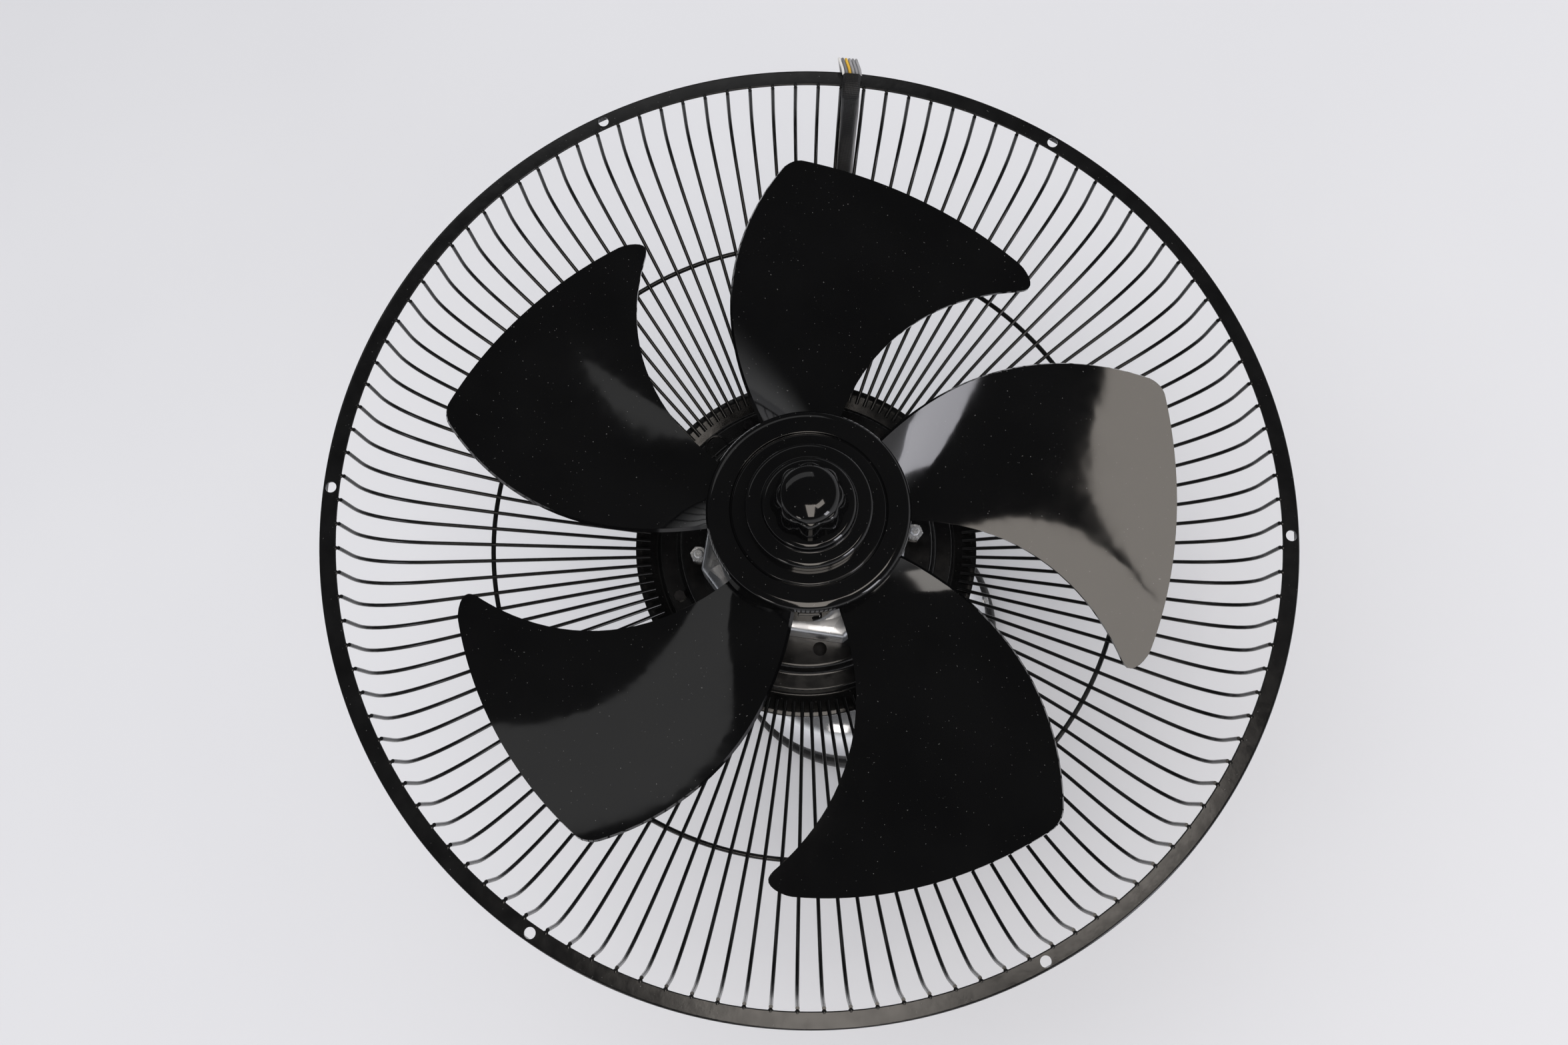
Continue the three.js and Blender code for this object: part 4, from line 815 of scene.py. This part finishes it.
def bladePoint(u, s):
    b = impeller
    tip = b["tip"] - b["taper"] * u - cornerDrop(u, b["blunt"]) - cornerDrop(1 - u, b["nose"])
    root = b["hub"] - b["wall"] / 2
    radius = root + s * (tip - root)
    share = max(0, (radius - b["hub"]) / (b["tip"] - b["hub"]))
    trailing = b["trailingRoot"] - b["trailingSweep"] * share ** 1.6
    noseStart, noseTurn = b["noseTurn"]
    leading = b["leadingRoot"] - b["leadingSweep"] * share ** 1.6
    turnedBack = leading + noseTurn * max(0, share - noseStart) ** 2
    angle = math.radians(trailing + (turnedBack - trailing) * u)
    # the rounded nose only trims the outline, so the height is taken where the point would lie without it
    u *= (turnedBack - trailing) / (leading - trailing)
    drop = b["rootDrop"] + (b["tipDrop"] - b["rootDrop"]) * share
    camber = b["camber"] * (0.5 + 0.5 * share) * 4 * u * (1 - u)
    height = b["front"] - b["inset"] - b["tipRear"] * share - drop * u - camber
    return Vector((radius * math.cos(angle), radius * math.sin(angle), height)) * mm


def spaced(count):
    # closer together near both ends
    return [0.5 - 0.5 * math.cos(math.pi * k / count) for k in range(count + 1)]


def makeImpeller():
    b = impeller
    shape = bmesh.new()
    chord, span = spaced(b["chordSteps"]), spaced(b["spanSteps"])
    grid = [[shape.verts.new(bladePoint(u, s)) for u in chord] for s in span]
    for row, after in zip(grid, grid[1:]):
        for k in range(len(chord) - 1):
            shape.faces.new((row[k], after[k], after[k + 1], row[k + 1]))
    blade = fromBmesh("fanBlades", shape, glossBlack, 60)
    thick = blade.modifiers.new("thickness", "SOLIDIFY")
    thick.thickness = b["thickness"] * mm
    thick.offset = 0
    thick.use_even_offset = True
    edge = blade.modifiers.new("roundEdge", "BEVEL")
    edge.width = 0.85 * mm
    edge.segments = 3
    edge.limit_method = "ANGLE"
    edge.angle_limit = math.radians(50)
    settled(blade, 60)
    copiedRound(blade, b["blades"], 0, glossBlack, 60)
    hub, front, back = b["hub"], b["front"], b["front"] - b["depth"]
    drum = lathe("drum", [
        (b["bore"], b["bossBottom"], 0.3), (b["boss"], b["bossBottom"], 0.5),
        (b["boss"], front - b["wall"], 0.6), (hub - b["wall"], front - b["wall"], 1),
        (hub - b["wall"], back, 0.3), (hub, back, 0.6),
        (hub, front - b["bevel"], 1.6), (hub - 1.05, front - 1.05, 1.2), (hub - b["bevel"], front, 1.4),
        (b["groove"] + 0.8, front, 0.35), (b["groove"], front - 0.8, 0.3), (b["groove"] - 0.8, front, 0.35),
        (b["bore"], front, 0.3)], glossBlack, 200, 40, 5)
    pad = bmesh.new()
    bmesh.ops.create_cube(pad, size=1, matrix=Matrix.Rotation(math.radians(-90), 4, "Z")
                          @ Matrix.Translation((hub * mm, 0, (front - 12) * mm))
                          @ Matrix.Diagonal((1.2 * mm, 11 * mm, 7 * mm, 1)))
    tab = fromBmesh("drumPad", pad, glossBlack, 30)
    soften = tab.modifiers.new("soften", "BEVEL")
    soften.width = 0.5 * mm
    soften.segments = 3
    settled(tab, 40)
    joinedTo(drum, [tab, blade], glossBlack, 42)
    evenShaded(drum)
    drum.name = "fanImpeller"
    seated(drum, headFrame, "fan_rotor", "black_gloss", "impeller")


makeImpeller()


# ---- lock knob: disc, step, lobed grip and domed cap
knob = {"bottom": 126.3, "disc": 31.0, "discTop": 135.3, "step": 22.5, "stepTop": 139.3, "grip": 19.0,
        "taper": 3.4, "gripTop": 156.3, "lobes": 8, "lobeDepth": 1.7, "cap": 14.2, "capHeight": 5.0}


def makeKnob():
    k = knob
    base = lathe("lockKnob", [
        (0, k["bottom"]), (k["disc"], k["bottom"], 0.6), (k["disc"], k["discTop"] - 1.5, 1.0),
        (k["disc"] - 1.5, k["discTop"] - 0.3, 0.8), (k["step"] + 0.8, k["discTop"], 0.6),
        (k["step"], k["stepTop"] - 1, 0.6), (k["step"] - 1.5, k["stepTop"], 0.8), (0, k["stepTop"])],
        glossBlack, 160, 40, 5)
    shape = bmesh.new()
    sides, levels, rings = 128, 14, []
    low, high = k["stepTop"] - 1, k["gripTop"]
    for level in range(levels + 1):
        t = level / levels
        rounding = 1.6 * max(0, (t - 0.88) / 0.12) ** 2
        scale = 1 - (k["taper"] / k["grip"]) * t
        row = []
        for j in range(sides):
            angle = 2 * math.pi * j / sides
            wave = 1 - math.sqrt(math.cos(k["lobes"] * angle / 2) ** 2 + 0.02)
            out = (k["grip"] - k["lobeDepth"] * wave) * scale - rounding
            row.append(onRing(shape, out, angle, low + (high - low) * t))
        rings.append(row)
    bridged(shape, rings)
    grip = fromBmesh("knobGrip", shape, glossBlack, 45)
    dome = [(0, k["gripTop"] - 1), (k["cap"], k["gripTop"] - 1)]
    for step in range(14):
        angle = step / 14 * math.pi / 2
        dome.append((k["cap"] * math.cos(angle) ** 0.75, k["gripTop"] + k["capHeight"] * math.sin(angle)))
    dome.append((0, k["gripTop"] + k["capHeight"]))
    cap = lathe("knobCap", dome, glossBlack, 128, 50)
    joinedTo(base, [grip, cap], glossBlack, 42)
    evenShaded(base)
    seated(base, headFrame, "fan_rotor", "black_gloss", "lock_knob")


makeKnob()
print("impeller and knob made")


# ---- head bolts and nuts
fixings = {"acrossFlats": 8.0, "nutBottom": 44.3, "nutHeight": 4.0,
           "bolt": 2.5, "boltTop": 50.3, "pitch": 0.8, "swivelBottom": 18.04}


def hexBody(name, bottom, top, bore, material):
    # a hexagon with its corners turned down
    shape = bmesh.new()
    corner = fixings["acrossFlats"] / math.sqrt(3)
    sides, rings = 72, []
    profile = [(0.88, bottom), (1, bottom + 0.55), (1, top - 0.55), (0.88, top)]
    for share, height in profile:
        row = []
        for k in range(sides):
            angle = 2 * math.pi * k / sides
            flat = fixings["acrossFlats"] / 2 / math.cos((angle % (math.pi / 3)) - math.pi / 6)
            out = min(flat, corner * share) if share < 1 else flat
            row.append(onRing(shape, out, angle, height))
        rings.append(row)
    if bore:
        for height in (top - 0.1, bottom + 0.1):
            rings.append([onRing(shape, bore, 2 * math.pi * k / sides, height) for k in range(sides)])
    bridged(shape, rings, bool(bore))
    return fromBmesh(name, shape, material, 28)


def threadedEnd(name, radius, bottom, top, pitch, material):
    # a bolt's end with its thread ridges
    outline = [(0, bottom)]
    height = bottom
    while height + pitch < top:
        outline += [(radius - 0.32, height), (radius, height + pitch / 2)]
        height += pitch
    outline += [(radius - 0.3, height), (radius - 0.7, top), (0, top)]
    return lathe(name, outline, material, 40, 30)


def makeFixings():
    f = fixings
    for k, angle in enumerate(plate["bolts"]):
        stand = standAt(plate["boltCircle"], angle) @ Matrix.Rotation(math.radians(motor["turn"]), 4, "Z")
        nut = hexBody(f"headNut{k + 1}", f["nutBottom"], f["nutBottom"] + f["nutHeight"], f["bolt"] + 0.25,
                      zincBright)
        seated(nut, headFrame @ stand, "head", "zinc_hardware", f"head_nut_{k + 1}")
        headTop = f["swivelBottom"] - 0.3
        bolt = lathe(f"headBolt{k + 1}", [(0, headTop - 1), (f["bolt"], headTop - 1), (f["bolt"], 44),
                                          (0, 44)], zincBright, 40, 30)
        end = threadedEnd("boltEnd", f["bolt"], 43.5, f["boltTop"], f["pitch"], zincBright)
        top = hexBody("boltHead", headTop - f["nutHeight"], headTop, 0, zincBright)
        joinedTo(bolt, [end, top], zincBright, 28)
        seated(bolt, headFrame @ stand, "head", "zinc_hardware", f"head_bolt_{k + 1}")


makeFixings()


# ---- harness: a flat braided sleeve over the cage, then six leads folded behind it to a plug housing
harness = {"width": 9.6, "thick": 4.4, "waist": 0.8, "widenFrom": 86, "widenOver": 36, "leadRadius": 0.75,
           "pitch": 1.8, "clear": 1.0, "housingLength": 16.0,
           "slots": ("lead_white", "lead_dark_grey", "lead_yellow", "lead_grey", "lead_grey", "lead_grey")}


def mouthHeight():
    # the middle of the sleeve where it lies over the rim
    return cage["rimTop"] + harness["thick"] / 2 + 0.9


def sleevePath():
    over = cage["radius"] + harness["thick"] / 2 + 0.6
    wall = cage["outerRadius"] - over
    mouth = mouthHeight()
    at = plate["grommet"]
    start = cage["bowlStart"]

    def laid(radius, lift=0.0):
        return (radius, 0, wireHeight(radius) + over * 1.05 + lift)

    return [(at, 0, 39.8), (at, 0, 48), (at + 2, 0, 51), (at + 7, 0, 52.5), laid(91, 6), laid(107),
            laid(start - 4), (wall - 14, 0, wireHeight(wall - 14) + over + 3.5),
            (wall - 4, 0, cage["bowlTop"] - 15), (wall, 0, cage["bowlTop"]), (wall, 0, cage["rimTop"] - 5),
            (wall + 0.2, 0, cage["rimTop"] + 0.3), (wall + 3.4, 0, mouth), (cage["rimRadius"] - 4, 0, mouth)]


def leadPath(across):
    rim = cage["rimRadius"]
    mouth = mouthHeight()
    edge = rim - 4
    start = cage["bowlStart"]
    end = cage["ringRadius"] + cage["ringRod"] + harness["housingLength"] + 2 * harness["clear"]

    def under(radius):
        return wireHeight(radius) - cage["radius"] - harness["leadRadius"] - harness["clear"]

    return [(edge + 0.3, across, mouth), (edge + 3, across + 1, mouth + 1.8),
            (edge + 5.8, across + 2.6, mouth + 3.4), (edge + 8, across + 3.2, mouth + 2),
            (edge + 8.6, across + 2.6, mouth - 3), (rim + 3.4, across + 1.2, cage["rimTop"] - 12),
            (rim - 3, across, cage["bowlTop"] - 8),
            (rim - 12, across, under(rim - 12) + 4), (start + 14, across, under(start + 14)),
            (end, across, under(end))]


def flatOval(width, thick):
    # a strip with round sides
    side = (width - thick) / 2
    half = thick / 2
    steps = 8
    points = []
    for way in (1, -1):
        for k in range(steps + 1):
            angle = math.pi * (k / steps - 0.5)
            points.append((way * (side + half * math.cos(angle)), way * half * math.sin(angle)))
    return points


def makeHarness():
    h = harness
    place = headFrame @ Matrix.Rotation(math.radians(plate["grommetAngle"]), 4, "Z")
    line = smoothPath(sleevePath())
    # narrow along the wires, and wider as it climbs to the rim
    climbs = [max(0, min(1, (p.z - h["widenFrom"]) / h["widenOver"])) for p in line]
    widths = [h["waist"] + (1 - h["waist"]) * climb for climb in climbs]
    sleeve = sweep("harnessSleeve", line, flatOval(h["width"], h["thick"]), braid, widths)
    seated(sleeve, place, "head", "braided_sleeve", "harness_sleeve")
    for k, slot in enumerate(h["slots"]):
        across = ((len(h["slots"]) - 1) / 2 - k) * h["pitch"]
        lead = sweep(f"lead{k + 1}", smoothPath(leadPath(across)), roundSection(h["leadRadius"], 14),
                     leadFinishes[k])
        seated(lead, place, "head", slot, f"lead_{k + 1}")


makeHarness()
print("harness made")


# ---- finishes of the pieces that keep their CAD shape
carriedOver = (
    (zincSheet, ("ceiling_plate", "drive_plate")),
    (zincBright, ("canopy_screw_1", "canopy_screw_2", "rod_bolt_1", "rod_bolt_2", "rod_bolt_3", "crank_screw",
                  "guide_pin")),
    (galvanised, ("orbit_motor", "motor_rear_shell", "rotor")),
    (plainSteel, ("pillar_1", "pillar_2", "pillar_3", "guide_fork", "orbit_crank", "stator_core",
                  "bearing_front", "bearing_rear", "spacer_1", "spacer_2", "shaft", "drive_pin")),
    (darkSteel, ("swivel_plate", "cover_screw_1", "cover_screw_2", "cover_screw_3")),
    (bronze, ("bush_lower", "bush_upper", "swivel_bush")),
    (whiteNylon, ("terminal_block", "orbit_gear", "orbit_pinion", "connector")),
    (winding, ("coil_rear", "coil_front")),
    (rubber, ("grommet",)))
for material, nodeNames in carriedOver:
    for nodeName in nodeNames:
        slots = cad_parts[nodeName].data.materials
        slots.clear()
        slots.append(material)


# ---- floor, backdrop light and lamps
studio = {"floor": (0.78, 0.785, 0.815), "floorDark": (0.74, 0.745, 0.78), "floorSize": 40,
          "floorGap": 0.0005, "fill": 0.83, "overhead": 0.06, "horizon": 0.8, "centre": (0.05, -0.03, 0.22),
          "distance": 5.0}


def makeFloor():
    shape = bmesh.new()
    bmesh.ops.create_grid(shape, x_segments=1, y_segments=1, size=studio["floorSize"],
                          matrix=Matrix.Translation((0, 0, -studio["floorGap"])))
    bench = NodeBench("paleFloor")
    bench.join(bench.mixed(bench.noise(3, 3), studio["floorDark"], studio["floor"]),
               bench.shader.inputs["Base Color"])
    bench.shader.inputs["Roughness"].default_value = 0.55
    floor = fromBmesh("tableFloor", shape, bench.material)


def makeWorld():
    # an even fill for every surface, and a dim room with a bright skyline for the reflections
    world = bpy.data.worlds.new("softRoom")
    bpy.context.scene.world = world
    world.use_nodes = True
    nodes, links = world.node_tree.nodes, world.node_tree.links
    back = nodes["Background"]
    coords = nodes.new("ShaderNodeTexCoord")
    split = nodes.new("ShaderNodeSeparateXYZ")
    ramp = nodes.new("ShaderNodeMapRange")
    ramp.interpolation_type = "SMOOTHSTEP"
    for label, value in (("From Min", 0.02), ("From Max", 0.3), ("To Min", studio["horizon"]),
                         ("To Max", studio["overhead"])):
        ramp.inputs[label].default_value = value
    rays = nodes.new("ShaderNodeLightPath")
    pick = nodes.new("ShaderNodeMix")
    pick.inputs["A"].default_value = studio["fill"]
    links.new(coords.outputs["Generated"], split.inputs["Vector"])
    links.new(split.outputs["Z"], ramp.inputs["Value"])
    links.new(rays.outputs["Is Glossy Ray"], pick.inputs["Factor"])
    links.new(ramp.outputs["Result"], pick.inputs["B"])
    links.new(pick.outputs["Result"], back.inputs["Strength"])
    back.inputs["Color"].default_value = (0.98, 0.985, 1, 1)


def lamp(name, zenith, azimuth, size, glow, colour=(1, 1, 1), roll=0.0):
    # a soft panel seen from the fan at this zenith angle and azimuth, with this brightness
    data = bpy.data.lights.new(name, "AREA")
    data.shape = "RECTANGLE"
    data.size, data.size_y = size
    data.energy = glow * math.pi * size[0] * size[1]
    data.color = colour
    made = bpy.data.objects.new(name, data)
    bpy.context.scene.collection.objects.link(made)
    way = Vector((math.sin(math.radians(zenith)) * math.cos(math.radians(azimuth)),
                  math.sin(math.radians(zenith)) * math.sin(math.radians(azimuth)),
                  math.cos(math.radians(zenith))))
    turn = (-way).to_track_quat("-Z", "Y").to_matrix().to_4x4() @ Matrix.Rotation(math.radians(roll), 4, "Z")
    made.matrix_world = Matrix.Translation(Vector(studio["centre"]) + way * studio["distance"]) @ turn


makeFloor()
makeWorld()
lamp("warmPanel", 40, -63, (1.09, 3.68), 4.4, (1, 0.92, 0.84), -27)
lamp("warmPatch", 35.5, -28, (1.12, 0.88), 4.4, (1, 0.92, 0.84), -20)
lamp("coolWindow", 86, -41, (1.0, 2.5), 7.5, (0.94, 0.93, 1))
lamp("lowWarmPanel", 72, -111.5, (0.88, 1.06), 4.2, (1, 0.95, 0.9))
lamp("greyCeiling", 24, 105, (5.0, 1.4), 0.62)
bpy.context.scene.view_settings.view_transform = "Standard"
print("studio made")
